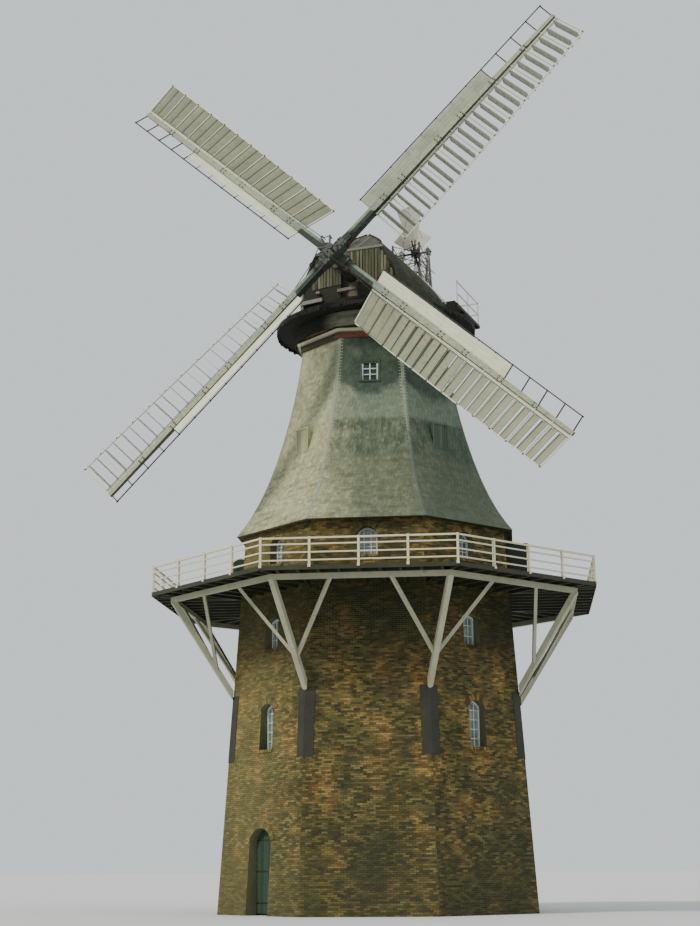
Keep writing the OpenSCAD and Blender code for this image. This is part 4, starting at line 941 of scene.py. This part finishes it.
trim = [board((2.9, 0.05, 0.10), (0, -GABLE_Y - 0.035, ROOF_Z + HIP_LOW - 0.01)),
        board((0.75, 0.14, 0.13), (-0.08, -GABLE_Y - 0.10, 23.90), (0, radians(-2), 0)),
        board((0.95, 0.10, 0.16), (-1.60, -GABLE_Y - 0.09, 23.58), (0, radians(-5), 0)),
        board((0.16, 0.10, 0.10), (-1.30, -GABLE_Y - 0.09, 23.93))]
trim_finish = board_coat("cap_timber", (0.12, 0.115, 0.090), (0.34, 0.33, 0.27), "X", mossy=0.3)
boarding("gable_trim", trim, trim_finish, "cap", cap_turned, 83, 0.008)

barge = []
for s in (-1, 1):
    line = [(roof_edge(-GABLE_Y, h), h) for h in np.linspace(0.02, HIP_LOW, 9)]
    line += [(roof_edge(-GABLE_Y + v, HIP_LOW + v * tan(hip_angle)), HIP_LOW + v * tan(hip_angle), v)
             for v in np.linspace(0.28, HIP_RUN - 0.05, 8)]
    points = [Vector((s * (p[0] + 0.01), -GABLE_Y - 0.02 + (p[2] if len(p) > 2 else 0), ROOF_Z + p[1] + 0.01))
              for p in line]
    for p, q in zip(points, points[1:]):
        run = q - p
        edge = board((0.05, 0.09, run.length + 0.015), (0, 0, 0))
        edge.rotation_mode = "QUATERNION"
        edge.rotation_quaternion = run.to_track_quat("Z", "Y")
        edge.location = (p + q) / 2
        barge.append(settle(edge))
barge_finish = board_coat("tarred_barge", (0.020, 0.018, 0.012), (0.040, 0.034, 0.022))
boarding("barge_boards", barge, barge_finish, "cap", cap_turned, 84, 0.006)

# Painted shade: the tarred skirt boards are made nearly black, and the skirt and soffit under them darker
# still, for the deep shade under the cap.
skirt_finish = board_coat("tarred_and_shaded_skirt", (0.006, 0.006, 0.004), (0.024, 0.022, 0.014),
                          moss=(0.014, 0.018, 0.008), mossy=0.3)
paint_node(board_coat("tarred_and_shaded_skirt_under", (0.005, 0.005, 0.003), (0.016, 0.015, 0.010),
                      moss=(0.010, 0.013, 0.006), mossy=0.3), "cap_skirt", "cap_soffit")
ragged = np.random.default_rng(12)
SLATS = 176
slats = []
for i in range(SLATS):
    a = 2 * pi * (i + 0.5) / SLATS
    drop = 0.17 + 0.07 * ragged.random() - (0.06 if ragged.random() > 0.85 else 0)
    lean = (radians(4) * (ragged.random() - 0.3), radians(7) * (ragged.random() - 0.5), a)
    r = SKIRT_RIM * 1.004
    slats.append(board((0.132, 0.022, drop), (r * sin(a), -r * cos(a), SKIRT_Z - drop / 2), lean))
boarding("skirt_slats", slats, skirt_finish, "cap", cap_turned, 85, 0)
rows = []
for ring, (r0, z0, r1, z1) in enumerate(((4.05, 23.065, 3.50, 23.31), (3.52, 23.30, 2.90, 23.71))):
    count = 88 if ring == 0 else 70
    for i in range(count):
        a = 2 * pi * (i + 0.5 * ring) / count
        r, z = (r0 + r1) / 2, (z0 + z1) / 2 + 0.012
        x, y = r * sin(a), -r * cos(a)
        eaves = roof_width(min(max(y, -GABLE_Y), ROOF_BACK - 0.01))
        under_roof = y > -GABLE_Y + 0.1 and abs(x) < eaves + 0.25
        if under_roof or y < -2.6 and abs(x) < 1.9:
            continue
        rows.append(board((2 * pi * r / count - 0.02, hypot(r0 - r1, z1 - z0) + 0.05, 0.020), (x, y, z),
                          (atan2(z1 - z0, r0 - r1), 0, a)))
boarding("skirt_boards", rows, skirt_finish, "cap", cap_turned, 86, 0)


def drum_coat():
    coat = Coat("drum_boards")
    one = coat.given("shade")
    grain = coat.noise(1.5, 5, coat.stretched(1.2, 1.2, 26))
    stain = coat.noise(1.4, 5, rough=0.7, low=0.45, high=0.7)
    # Painted shade: the boards on the left of the drum are made nearly black, for the shadow of the skirt
    # above them.
    clear_of_painted_shade = coat.span(coat.axis("X") + stain * 0.3, -1.9, -1.1)
    colour = coat.mix(one * 0.6 + grain * 0.4, (0.085, 0.085, 0.058), (0.27, 0.265, 0.185))
    colour = coat.mix(stain * 0.3, colour, (0.05, 0.06, 0.03))
    colour = coat.mix(clear_of_painted_shade, (0.018, 0.017, 0.012), colour)
    return coat.finish(colour, 0.8 + grain * 0.12, grain + one * 0.2, 0.004)


drum_finish = drum_coat()
paint_node(drum_finish, "cap_drum")
DRUM_R, DRUM_BOARDS, DRUM_LOW = 3.27, 24, 22.425
drum = []
for level in range(4):
    for i in range(DRUM_BOARDS):
        a = 2 * pi * (i + 0.5 * (level % 2)) / DRUM_BOARDS
        drum.append(board((2 * pi * DRUM_R / DRUM_BOARDS + 0.012, 0.026, 0.150),
                          ((DRUM_R + 0.002) * sin(a), -(DRUM_R + 0.002) * cos(a), DRUM_LOW + 0.145 * level),
                          (radians(-5), radians(1.2) * ((i * 5 + level) % 3 - 1), a)))
boarding("drum_boards", drum, drum_finish, "cap", cap_turned, 87)


# The fan stage: a tarred deck behind the cap on two long beams, with a pale rail round it. A braced
# trestle of bolted timber stands on it and carries the fantail. A ladder lies on the roof.
FAN_DECK_Z, FAN_DECK_Y, FAN_DECK_X = 24.93, 6.1, 2.65
TRESTLE_X, TRESTLE_FOOT, TRESTLE_H = 0.62, 0.72, 3.53
FAN_Y, FAN_Z, FAN_RAIL_X = 5.2, 28.4, 2.61


def rod(p, q, radius, sides=8):
    run = q - p
    bar = primitive("cylinder", "rod", vertices=sides, radius=radius, depth=run.length)
    bar.data.transform(Matrix.Translation((p + q) / 2) @ run.to_track_quat("Z", "Y").to_matrix().to_4x4())
    return bar


def bolt(radius, length, location, rotation=(0, 0, 0), sides=8):
    return primitive("cylinder", "bolt", vertices=sides, radius=radius, depth=length, location=location,
                     rotation=rotation)


def fan_deck_coat():
    coat = Coat("fan_stage_boards")
    turned = coat.node("ShaderNodeMapping", {}, {"Vector": coat.place, "Rotation": (0, 0, CAP_TURN)})
    across = coat.node("ShaderNodeSeparateXYZ", {}, {0: turned}, "Y") / 0.17
    number = floor(across)
    one = coat.node("ShaderNodeTexWhiteNoise", {"noise_dimensions": "1D"}, {"W": number})
    joint = coat.span(across % 1.0, 0.07, 0.02)
    grain = coat.noise(14, 5)
    stain = coat.noise(1.3, 5, rough=0.7)
    colour = coat.mix(one * 0.55 + grain * 0.45, (0.012, 0.012, 0.009), (0.048, 0.046, 0.034))
    colour = coat.mix(stain * 0.5, colour, (0.022, 0.026, 0.014))
    colour = coat.mix(joint * 0.9, colour, (0.008, 0.008, 0.006))
    return coat.finish(colour, 0.82 + grain * 0.12, grain * 0.4 - joint, 0.006)


paint_node(fan_deck_coat(), "fan_stage")
fan_rail_finish = paint_coat("fan_rail_paint", (0.66, 0.66, 0.56), (0.52, 0.53, 0.45),
                             (0.22, 0.20, 0.15), 0.5, 2)
paint_node(fan_rail_finish, "fan_stage_rail", "roof_ladder")
trestle_finish = paint_coat("trestle_paint", (0.24, 0.25, 0.20), (0.15, 0.155, 0.12),
                            (0.040, 0.038, 0.028), 0.8, 2)
paint_node(trestle_finish, "fan_trestle")

edges = [board((2 * FAN_DECK_X, 0.024, 0.13), (0, FAN_DECK_Y + 0.0125, FAN_DECK_Z - 0.055))]
edges += [board((0.024, 3.30, 0.13), (s * (FAN_DECK_X + 0.0125), 4.45, FAN_DECK_Z - 0.055)) for s in (-1, 1)]
edges += [board((2 * FAN_DECK_X - 0.2, 0.022, 0.11), (0, FAN_DECK_Y - 0.075, FAN_DECK_Z + 0.055))]
edges += [board((0.022, 2.9, 0.11), (s * (FAN_DECK_X - 0.075), 4.6, FAN_DECK_Z + 0.055)) for s in (-1, 1)]
edges += [board((0.20, 0.24, 0.022), (s * 1.35, FAN_DECK_Y, FAN_DECK_Z - 0.292)) for s in (-1, 1)]
edge_finish = board_coat("fan_stage_trim", (0.014, 0.013, 0.010), (0.055, 0.050, 0.038), "X")
boarding("fan_stage_edges", edges, edge_finish, "cap", cap_turned, 91, 0.005)
caps = []
for s in (-1, 1):
    for y in (3.0, 4.53, 6.06):
        caps.append(board((0.085, 0.085, 0.014), (s * FAN_RAIL_X, y, FAN_DECK_Z + 1.058)))
        caps.append(board((0.075, 0.075, 0.10), (s * FAN_RAIL_X, y, FAN_DECK_Z + 0.052)))
boarding("fan_rail_caps", caps, fan_rail_finish, "cap", cap_turned, 92, 0.006)
ties = []
for d in (-1, 1):
    for f in (0.06, 0.22):
        place = (0, FAN_Y + d * (TRESTLE_FOOT * (1 - f) + 0.066), FAN_DECK_Z + TRESTLE_H * f)
        ties.append(board((2 * TRESTLE_X + 0.22, 0.05, 0.10), place, (-d * radians(11.5), 0, 0)))
ties += [board((0.12, 2 * TRESTLE_FOOT + 0.3, 0.10), (s * TRESTLE_X, FAN_Y, FAN_DECK_Z + 0.052))
         for s in (-1, 1)]
boarding("trestle_ties", ties, trestle_finish, "cap", cap_turned, 93, 0.006)

POST_Y, POST_TOP, BRACE_R, RUNG_R = 3.95, 28.42, 0.017, 0.022
post = (0.07, 0.07, POST_TOP - FAN_DECK_Z)
lattice = [settle(board(post, (s * TRESTLE_X, POST_Y, (POST_TOP + FAN_DECK_Z) / 2))) for s in (-1, 1)]
levels = np.linspace(FAN_DECK_Z + 0.25, POST_TOP - 0.05, 8)
for z0, z1 in zip(levels, levels[1:]):
    back0, back1 = (FAN_Y - TRESTLE_FOOT * (1 - (z - FAN_DECK_Z) / TRESTLE_H) for z in (z0, z1))
    for x in (-TRESTLE_X, TRESTLE_X):
        for p, q, radius in (((x, POST_Y, z0), (x, back1, z1), BRACE_R),
                             ((x, back0, z0), (x, POST_Y, z1), BRACE_R),
                             ((x, POST_Y, z0), (x, back0, z0), RUNG_R),
                             ((-x, POST_Y, z0), (x, POST_Y, z1), BRACE_R)):
            lattice.append(rod(Vector(p), Vector(q), radius, 6))
    lattice.append(rod(Vector((-TRESTLE_X, POST_Y, z0)), Vector((TRESTLE_X, POST_Y, z0)), RUNG_R, 6))
trestle_lattice = painted(settle(join("trestle_lattice", lattice)), iron_finish)
fixed(trestle_lattice, "cap", cap_turned)
bolts = []
for s in (-1, 1):
    for i in range(1, 6):
        for d in (-1, 1):
            y = FAN_Y + d * TRESTLE_FOOT * (1 - i / 6)
            bolts.append(bolt(0.018, 0.018, (s * (TRESTLE_X + 0.052), y, FAN_DECK_Z + TRESTLE_H * i / 6),
                              (0, pi / 2, 0)))
    for d in (-1, 1):
        bolts.append(bolt(0.016, 0.16, (s * TRESTLE_X, FAN_Y + d * 0.095, FAN_Z + 0.17)))
    bolts.append(primitive("cube", "bearing_cap", size=1, scale=(0.10, 0.24, 0.028),
                           location=(s * TRESTLE_X, FAN_Y, FAN_Z + 0.146)))
trestle_iron = bevelled(settle(join("trestle_iron", bolts)), 0.003)
fixed(painted(trestle_iron, iron_finish), "cap", cap_turned)


# The sails: two tapered stocks through the iron poll end, painted dark green with pale fronts. Cream
# timber frames twist along them, iron rods hold the leading boards, and rows of shutters turn in the
# frames. Iron cranks and rods work the shutters from the cross in front of the hub.
HUB_Y, HUB_Z, SHAFT_TILT, SAIL_ANGLE = 4.38, 24.88, radians(10.4), radians(47.4)
SAIL_LEN, SAIL_START, BAY, BAYS, BOARD_BAYS = 12.84, 2.25, 0.88, 12, 8
SAIL_W, LEAD_W, LEAD_PITCH, ROD_W, CLIP_LAP = 1.69, 0.72, radians(22), 0.030, 0.008
STOCK_GAP, STOCK_W, STOCK_TIP, POLL_LEN = 0.34, 0.31, 0.15, 0.62
WEATHER, UNTWIST = 23.5, 28.0
sail_place = (cap_turned @ Matrix.Translation((0, -HUB_Y, HUB_Z)) @ Matrix.Rotation(-SHAFT_TILT, 4, "X")
              @ Matrix.Rotation(-SAIL_ANGLE, 4, "Y"))
arm_place = [sail_place @ Matrix.Rotation(-pi / 2 * i, 4, "Y")
             @ Matrix.Translation((0, STOCK_GAP / 2 * (1 if i % 2 else -1), 0)) for i in range(4)]
hub_point = tuple(sail_place.translation)
front_way = tuple(sail_place.to_3x3() @ Vector((0, -1, 0)))


def weather(s):
    """The twist of a sail's frame, which grows flatter from the hub to the tip."""
    return radians(WEATHER - UNTWIST * (s - SAIL_START) / (SAIL_LEN - SAIL_START))


def on_sail(s, t, out):
    """A point of the twisted frame: s along the arm, t across it, out in front of its plane."""
    w = weather(s)
    return Vector((s, -t * sin(w) - out * cos(w), t * cos(w) - out * sin(w)))


def frame_at(s, t=0.0):
    """Place and twist of the frame at s along the arm."""
    return Matrix.Translation(on_sail(s, t, 0.0)) @ Matrix.Rotation(weather(s), 4, "X")


def stock_half(s):
    f = max(0.0, (s - POLL_LEN) / (SAIL_LEN - POLL_LEN))
    return (STOCK_W + (STOCK_TIP - STOCK_W) * f) / 2


def from_hub(coat, i, way):
    """How far a point lies from the hub in one of the directions of an arm."""
    reach = coat.node("ShaderNodeVectorMath", {"operation": "SUBTRACT"}, {0: coat.place, 1: hub_point})
    way = tuple(arm_place[i].to_3x3() @ Vector(way))
    return coat.node("ShaderNodeVectorMath", {"operation": "DOT_PRODUCT"}, {0: reach, 1: way}, 1)


def stock_coat():
    coat = Coat("stock_paint", specular=0.25)
    reach = coat.node("ShaderNodeVectorMath", {"operation": "DISTANCE"}, {0: coat.place, 1: hub_point}, 1)
    facing = coat.node("ShaderNodeVectorMath", {"operation": "DOT_PRODUCT"}, {
        0: coat.node("ShaderNodeTexCoord", {}, {}, "Normal"), 1: front_way}, 1)
    ragged_edge = coat.noise(2.5, 5, rough=0.7)
    outer = coat.span(reach + ragged_edge * 1.2, 2.6, 6.0)
    above = [from_hub(coat, i, (0, 0, 1)) for i in (0, 3)]
    size = [abs(a) for a in above]
    on_rear = size[1] < size[0]
    upper = above[0] * (1 - on_rear) + above[1] * on_rear
    tarred = coat.span(reach, 2.20, 2.30, 0.015, -0.20)
    pale_strip = coat.span(upper - tarred, 0.0, 0.02)
    pale_side = pale_strip * coat.span(facing, 0.5, 0.8)
    clear_of_hub = coat.span(reach + ragged_edge * 0.5, 1.1, 1.6)
    grain = coat.noise(9, 5, rough=0.7)
    flake = coat.noise(4.0, 6, rough=0.75, low=0.56, high=0.68)
    dark = coat.mix(outer, coat.mix(grain, (0.008, 0.014, 0.010), (0.028, 0.042, 0.029)),
                    coat.mix(grain, (0.045, 0.052, 0.030), (0.125, 0.135, 0.085)))
    pale = coat.mix(outer, coat.mix(grain, (0.11, 0.15, 0.105), (0.24, 0.28, 0.205)),
                    coat.mix(grain, (0.22, 0.23, 0.150), (0.40, 0.40, 0.285)))
    colour = coat.mix(clear_of_hub * pale_side, dark, pale)
    colour = coat.mix(flake * (0.15 + 0.3 * pale_side), colour, (0.050, 0.054, 0.036))
    return coat.finish(colour, 0.65 + flake * 0.3, grain * 0.4 - flake * 0.6, 0.004)


stock_finish = stock_coat()
paint_node(stock_finish, "stock_front", "stock_rear")
sail_finish = paint_coat("sail_paint", (0.70, 0.68, 0.53), (0.60, 0.58, 0.46), (0.26, 0.24, 0.16), 0.35, 1.6)
paint_node(sail_finish, "sail_frames_front")


def rear_frame_coat():
    """Cream laths and bars. Painted shade makes the bars over the inner shutters of one sail dark."""
    coat = Coat("rear_sail_paint")
    grain = wood_grain(coat, 1.6, 22, 1.5)
    flake = coat.noise(8.0, 6, rough=0.75, low=0.58, high=0.70)
    along, across = from_hub(coat, 3, (1, 0, 0)), from_hub(coat, 3, (0, 0, 1))
    bars = coat.span(across, -0.27, -0.30) * coat.span(across, -1.60, -1.56)
    # Painted shade on the inner bars of this sail, for the shaded gaps between its shutters.
    damp_and_shade = bars * coat.span(along, 2.5, 2.6) * coat.span(along + grain, 8.4, 7.6)
    colour = coat.mix(grain, (0.58, 0.56, 0.44), (0.70, 0.68, 0.53))
    colour = coat.mix(flake * 0.4, colour, (0.26, 0.24, 0.16))
    colour = coat.mix(damp_and_shade * 0.92, colour, (0.040, 0.044, 0.028))
    return coat.finish(colour, 0.6 + flake * 0.3, grain * 0.5 - flake * 0.6, 0.003)


paint_node(rear_frame_coat(), "sail_frames_rear")
sail_iron = Coat("sail_iron", metallic=0.3, specular=0.4)
rust = sail_iron.noise(7, 5, rough=0.7, low=0.48, high=0.68)
rod_finish = sail_iron.finish(sail_iron.mix(rust, (0.030, 0.032, 0.027), (0.085, 0.050, 0.030)),
                              0.6 + rust * 0.3, sail_iron.noise(40, 3), 0.002)
poll_finish = paint_coat("poll_paint", (0.018, 0.028, 0.020), (0.040, 0.052, 0.038),
                         (0.060, 0.042, 0.026), 0.8, 2)
paint_node(poll_finish, "poll_end", "windshaft", "spider")

pitched = Matrix.Rotation(LEAD_PITCH, 4, "X")
HEM_T = LEAD_W - CLIP_LAP - ROD_W / 2
rails = []
for i in range(4):
    row = [board((BAYS * BAY + 0.04, 0.042, 0.042), (SAIL_START + BAYS * BAY / 2, 0, HEM_T))]
    for k in range(BAYS + 1):
        s, wide = SAIL_START + k * BAY - (0.035 if k == BAYS else 0), 0.024 if k < BOARD_BAYS else 0.042
        foot = stock_half(s) + 0.002
        row.append(board((wide, wide, HEM_T - foot), (s, 0, (HEM_T + foot) / 2)))
        row.append(board((0.09, 0.046, 0.046), (s, 0, HEM_T)))
        row.append(bolt(0.026, 0.075, (s, 0, HEM_T), (pi / 2, 0, 0), 6))
    rails.append(placed(join("lead_rail", row), arm_place[i] @ pitched))
rails = painted(bevelled(settle(join("lead_rails", rails)), 0.005), rod_finish)
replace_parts(fixed(rails, "sails"), "lead_frames")

# Between each stock and its frame a lath lies on the bars, olive by the stock and cream by the shutters.
laths = {"olive": [], "cream": []}
for i in range(4):
    for k in range(BAYS):
        s = SAIL_START + (k + 0.5) * BAY
        near = stock_half(s - BAY / 2) + 0.004
        parting = max(near, 0.128)
        for name, t0, t1 in (("olive", near, parting), ("cream", parting, 0.215)):
            if t1 - t0 > 0.01:
                strip = board((BAY - 0.001, 0.020, t1 - t0), (0, 0, -(t0 + t1) / 2))
                laths[name].append(placed(strip, arm_place[i] @ frame_at(s)))
boarding("stock_laths_cream", laths["cream"], sail_finish, "sails", None, 103, 0.003)
lath_finish = paint_coat("olive_laths", (0.30, 0.30, 0.205), (0.24, 0.25, 0.165), (0.10, 0.10, 0.065), 0.5)
boarding("stock_laths_olive", laths["olive"], lath_finish, "sails", None, 104, 0.003)

# Leading boards: planks on the front rods of each sail. On two sails they end well short of the hem rod.
board_gaps = (0.016, 0.190, 0.090, 0.016)
lead_boards = []
for i in range(4):
    low, high = 0.175, LEAD_W - 2 * CLIP_LAP - ROD_W - board_gaps[i]
    count = round((high - low) / 0.18)
    wide = (high - low) / count
    for j in range(count):
        joints = [0, *range(2 - j % 2, BOARD_BAYS, 2), BOARD_BAYS]
        for k0, k1 in zip(joints, joints[1:]):
            s0, s1 = SAIL_START + k0 * BAY + 0.001, SAIL_START + k1 * BAY - 0.001
            foot = 1.08 * stock_half(s0) + 0.012 if j == 0 else low + j * wide
            head = low + (j + 1) * wide - 0.004
            plank = board((s1 - s0, 0.029, head - foot), ((s0 + s1) / 2, 0, (foot + head) / 2))
            lead_boards.append(placed(plank, arm_place[i] @ pitched))


def lead_coat():
    coat = Coat("leading_board_paint")
    one = coat.given("shade")
    grain = coat.noise(2.0, 5, rough=0.65)
    stain = coat.noise(1.2, 6, rough=0.7, low=0.45, high=0.7)
    # Painted shade: the boards of the first sail are made a dull grey-green, as if they lay in shade.
    painted_sail_shade = coat.span(from_hub(coat, 0, (1, 0, 0)), 1.6, 2.1)
    colour = coat.mix(one * 0.4 + grain * 0.6, (0.60, 0.585, 0.415), (0.79, 0.765, 0.57))
    colour = coat.mix(painted_sail_shade * (0.72 + stain * 0.28), colour, (0.255, 0.29, 0.205))
    colour = coat.mix(stain * 0.20, colour, (0.22, 0.22, 0.13))
    return coat.finish(colour, 0.6 + grain * 0.15, grain * 0.6 + one * 0.2, 0.003)


lead_planks = boarding("leading_planks", lead_boards, lead_coat(), "sails", None, 101, 0.003)
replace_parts(lead_planks, "leading_boards")

# Shutters: cambered panels of thin board on a light frame, two to a bay, each on a pin at its middle.
# The pair of sails on the front stock stands open, the other pair is nearly closed.
SHUTTER_PITCH, SHUTTER_W, SHUTTER_T = (BAY - 0.05) / 2, (BAY - 0.05) / 2 - 0.012, 0.026
SHUTTER_IN, SHUTTER_OUT = 0.24 + 0.0225 + 0.0006, SAIL_W - 0.045 - 0.0006
length = SHUTTER_OUT - SHUTTER_IN
middle = -(SHUTTER_IN + SHUTTER_OUT) / 2
panel = primitive("grid", "shutter", x_subdivisions=8, y_subdivisions=1, size=1, location=(0, 0, middle),
                  rotation=(pi / 2, 0, 0))
panel.scale = (SHUTTER_W - 0.02, length - 0.02, 1)
settle(panel)
for v in panel.data.vertices:
    v.co.y = -0.007 * cos(v.co.x / SHUTTER_W * pi)
choose(panel)
skin = panel.modifiers.new("skin", "SOLIDIFY")
skin.thickness = 0.010
skin.offset = 0
bpy.ops.object.modifier_apply(modifier="skin")
stiles = [board((0.040, SHUTTER_T, length), (s * (SHUTTER_W / 2 - 0.020), 0, middle)) for s in (-1, 1)]
frame_bars = [board((SHUTTER_W - 0.06, SHUTTER_T - 0.004, 0.04), (0, 0, middle + d * (length / 2 - 0.02)))
              for d in (-1, -0.33, 0.33, 1)]
frame_bars += [board((0.05, 0.012, 0.05), (0, -0.012, middle + length / 2 - 0.06))]
open_finish = paint_coat("open_shutter_paint", (0.44, 0.45, 0.36), (0.35, 0.36, 0.29),
                         (0.16, 0.16, 0.11), 0.5, 1.2)
closed_finish = paint_coat("closed_shutter_paint", (0.32, 0.32, 0.21), (0.235, 0.24, 0.158),
                           (0.10, 0.10, 0.062), 0.6, 1.2)
# The stiles of the shutters on one sail are coloured dark.
stile_finish = paint_coat("dark_stiles", (0.085, 0.085, 0.055), (0.055, 0.056, 0.036),
                          (0.20, 0.19, 0.13), 0.6, 1.2)
for one in [panel] + frame_bars:
    painted(one, open_finish)
for one in stiles:
    painted(one, stile_finish)
shutter = settle(join("shutter", [panel] + frame_bars + stiles))
lean = np.random.default_rng(77)
for pair, arms, finish in (("front", (0, 2), open_finish), ("rear", (1, 3), closed_finish)):
    paint_node(finish, "shutters_" + pair)
    panels = []
    for i in arms:
        rows = []
        for k in range(BAYS):
            for m in (0.5, 1.5):
                s = SAIL_START + k * BAY + 0.025 + m * SHUTTER_PITCH
                outward = (s - SAIL_START) / (SAIL_LEN - SAIL_START)
                opening = (96, -18, 96, -4 - 22 * outward)[i] + 6 * (lean.random() - 0.5)
                one = twin(shutter, "panel")
                one.data.transform(arm_place[i] @ frame_at(s) @ Matrix.Rotation(radians(opening), 4, "Z"))
                rows.append(one)
        row = join("row", rows)
        row.data.materials[0] = finish
        row.data.materials[1] = stile_finish if i == 1 else finish
        panels.append(row)
    piece = join("shutter_panels_" + pair, panels)
    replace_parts(fixed(piece, "sails"), "shutters_" + pair)
bpy.data.objects.remove(shutter)

# Ironwork of the sails: clamps round the stocks, brackets along the hem, and the gear that works the
# shutters, which is a crank at the foot of each sail and a rod that runs from shutter to shutter.
GEAR_PLACE = -0.243, 0.055
for i in range(4):
    fittings = []
    for s in (2.9, 3.95, 6.05, 7.35, 9.2, 11.0):
        h = stock_half(s)
        for d in (-0.10, 0.10):
            fittings += [board((0.05, 0.026, 0.05), (s + d, -h - 0.012, t * h * 0.55)) for t in (-1, 1)]
            fittings += [board((0.05, 0.07, 0.026), (s + d, 0.02, t * (h + 0.012))) for t in (-1, 1)]
    for k in range(BAYS + 1):
        s = SAIL_START + k * BAY - (0.02 if k == BAYS else 0)
        fittings.append(placed(board((0.075, 0.075, 0.05), (0, 0, 0)), frame_at(s, 0.030 - SAIL_W)))
    crank = Vector((0.98, -0.36, -0.20))
    fittings += [board((0.16, 0.24, 0.014), (0.98, -0.26, t)) for t in (-0.155, -0.235)]
    fittings.append(rod(crank + Vector((0, 0, 0.07)), crank - Vector((0, 0, 0.07)), 0.020))
    turn_over = STOCK_GAP / 2 * (-1 if i % 2 else 1)
    spider_end = Vector((0.33, -0.70 + turn_over, -0.33))
    fittings.append(rod(spider_end, crank + Vector((-0.10, -0.03, 0)), 0.018))
    fittings.append(board((0.22, 0.05, 0.03), crank + Vector((-0.03, -0.01, 0)), (0, 0, radians(20))))
    fittings.append(rod(crank + Vector((0.04, 0.02, 0)), on_sail(SAIL_START, *GEAR_PLACE), 0.016))
    for k in range(BAYS):
        p, q = (on_sail(SAIL_START + n * BAY, *GEAR_PLACE) for n in (k, k + 1))
        fittings.append(rod(p, q, 0.012, 6))
        for m in (0.5, 1.5):
            s = SAIL_START + k * BAY + 0.025 + m * SHUTTER_PITCH
            fittings.append(rod(on_sail(s, *GEAR_PLACE), on_sail(s, -0.272, 0.0), 0.009, 6))
    gear = painted(bevelled(settle(join("sail_gear_%d" % i, fittings)), 0.003), rod_finish)
    fixed(gear, "sails", arm_place[i])

wedges = []
for i in range(4):
    for t in (-1, 1):
        for d in (-1, 1):
            wedge = board((0.34, 0.045, 0.10), (POLL_LEN + 0.06, d * 0.05, t * 0.19), (0, radians(t * 4), 0))
            wedges.append(placed(wedge, arm_place[i]))
for i in (0, 1):
    for s in (-0.48, -0.16, 0.16, 0.48):
        for t in (-1, 1):
            nut = bolt(0.032, 0.05, (s, -0.215 if i == 0 else 0.225, t * 0.172), (pi / 2, 0, 0), 6)
            wedges.append(placed(nut, arm_place[i]))
poll_irons = bevelled(settle(join("poll_irons", wedges)), 0.004)
fixed(painted(poll_irons, rod_finish), "sails")


# The fantail: eight pale blades set at an angle on iron-bound arms, which turn the cap into the wind.
blade_finish = paint_coat("fan_blade_paint", (0.66, 0.63, 0.50), (0.50, 0.47, 0.36),
                          (0.26, 0.22, 0.15), 0.5, 1.2)
paint_node(blade_finish, "fan_blades")
paint_node(rod_finish, "fan_shaft")
fan_place = cap_turned @ Matrix.Translation((0, FAN_Y, FAN_Z))
stays = []
for i in range(8):
    set_at = fan_place @ Matrix.Rotation(i * pi / 4, 4, "X") @ Matrix.Rotation(pi / 4, 4, "Z")
    stays += [placed(board((wide, 0.020, 0.055), (0, 0.0235, z)), set_at)
              for z, wide in ((0.66, 0.26), (1.30, 0.42), (2.05, 0.60))]
    stays.append(placed(board((0.045, 0.045, 1.52), (0, 0.036, 1.42)), set_at))
boarding("fan_blade_battens", stays, blade_finish, "fantail", None, 111, 0.003)
irons = []
TIE_END = Vector((0, 0, 1.62))
for i in range(8):
    turn, ahead = (Matrix.Rotation(n * pi / 4, 4, "X") for n in (i, i + 1))
    irons.append(rod(turn @ TIE_END, ahead @ TIE_END, 0.008, 6))
    irons.append(placed(board((0.085, 0.085, 0.05), (0, 0, 0.42)), turn))
for x in (-0.12, 0.12):
    irons.append(settle(bolt(0.205, 0.04, (x, 0, 0), (0, pi / 2, 0), 32)))
fan_irons = painted(settle(join("fan_irons", irons)), rod_finish)
fixed(fan_irons, "fantail", fan_place)
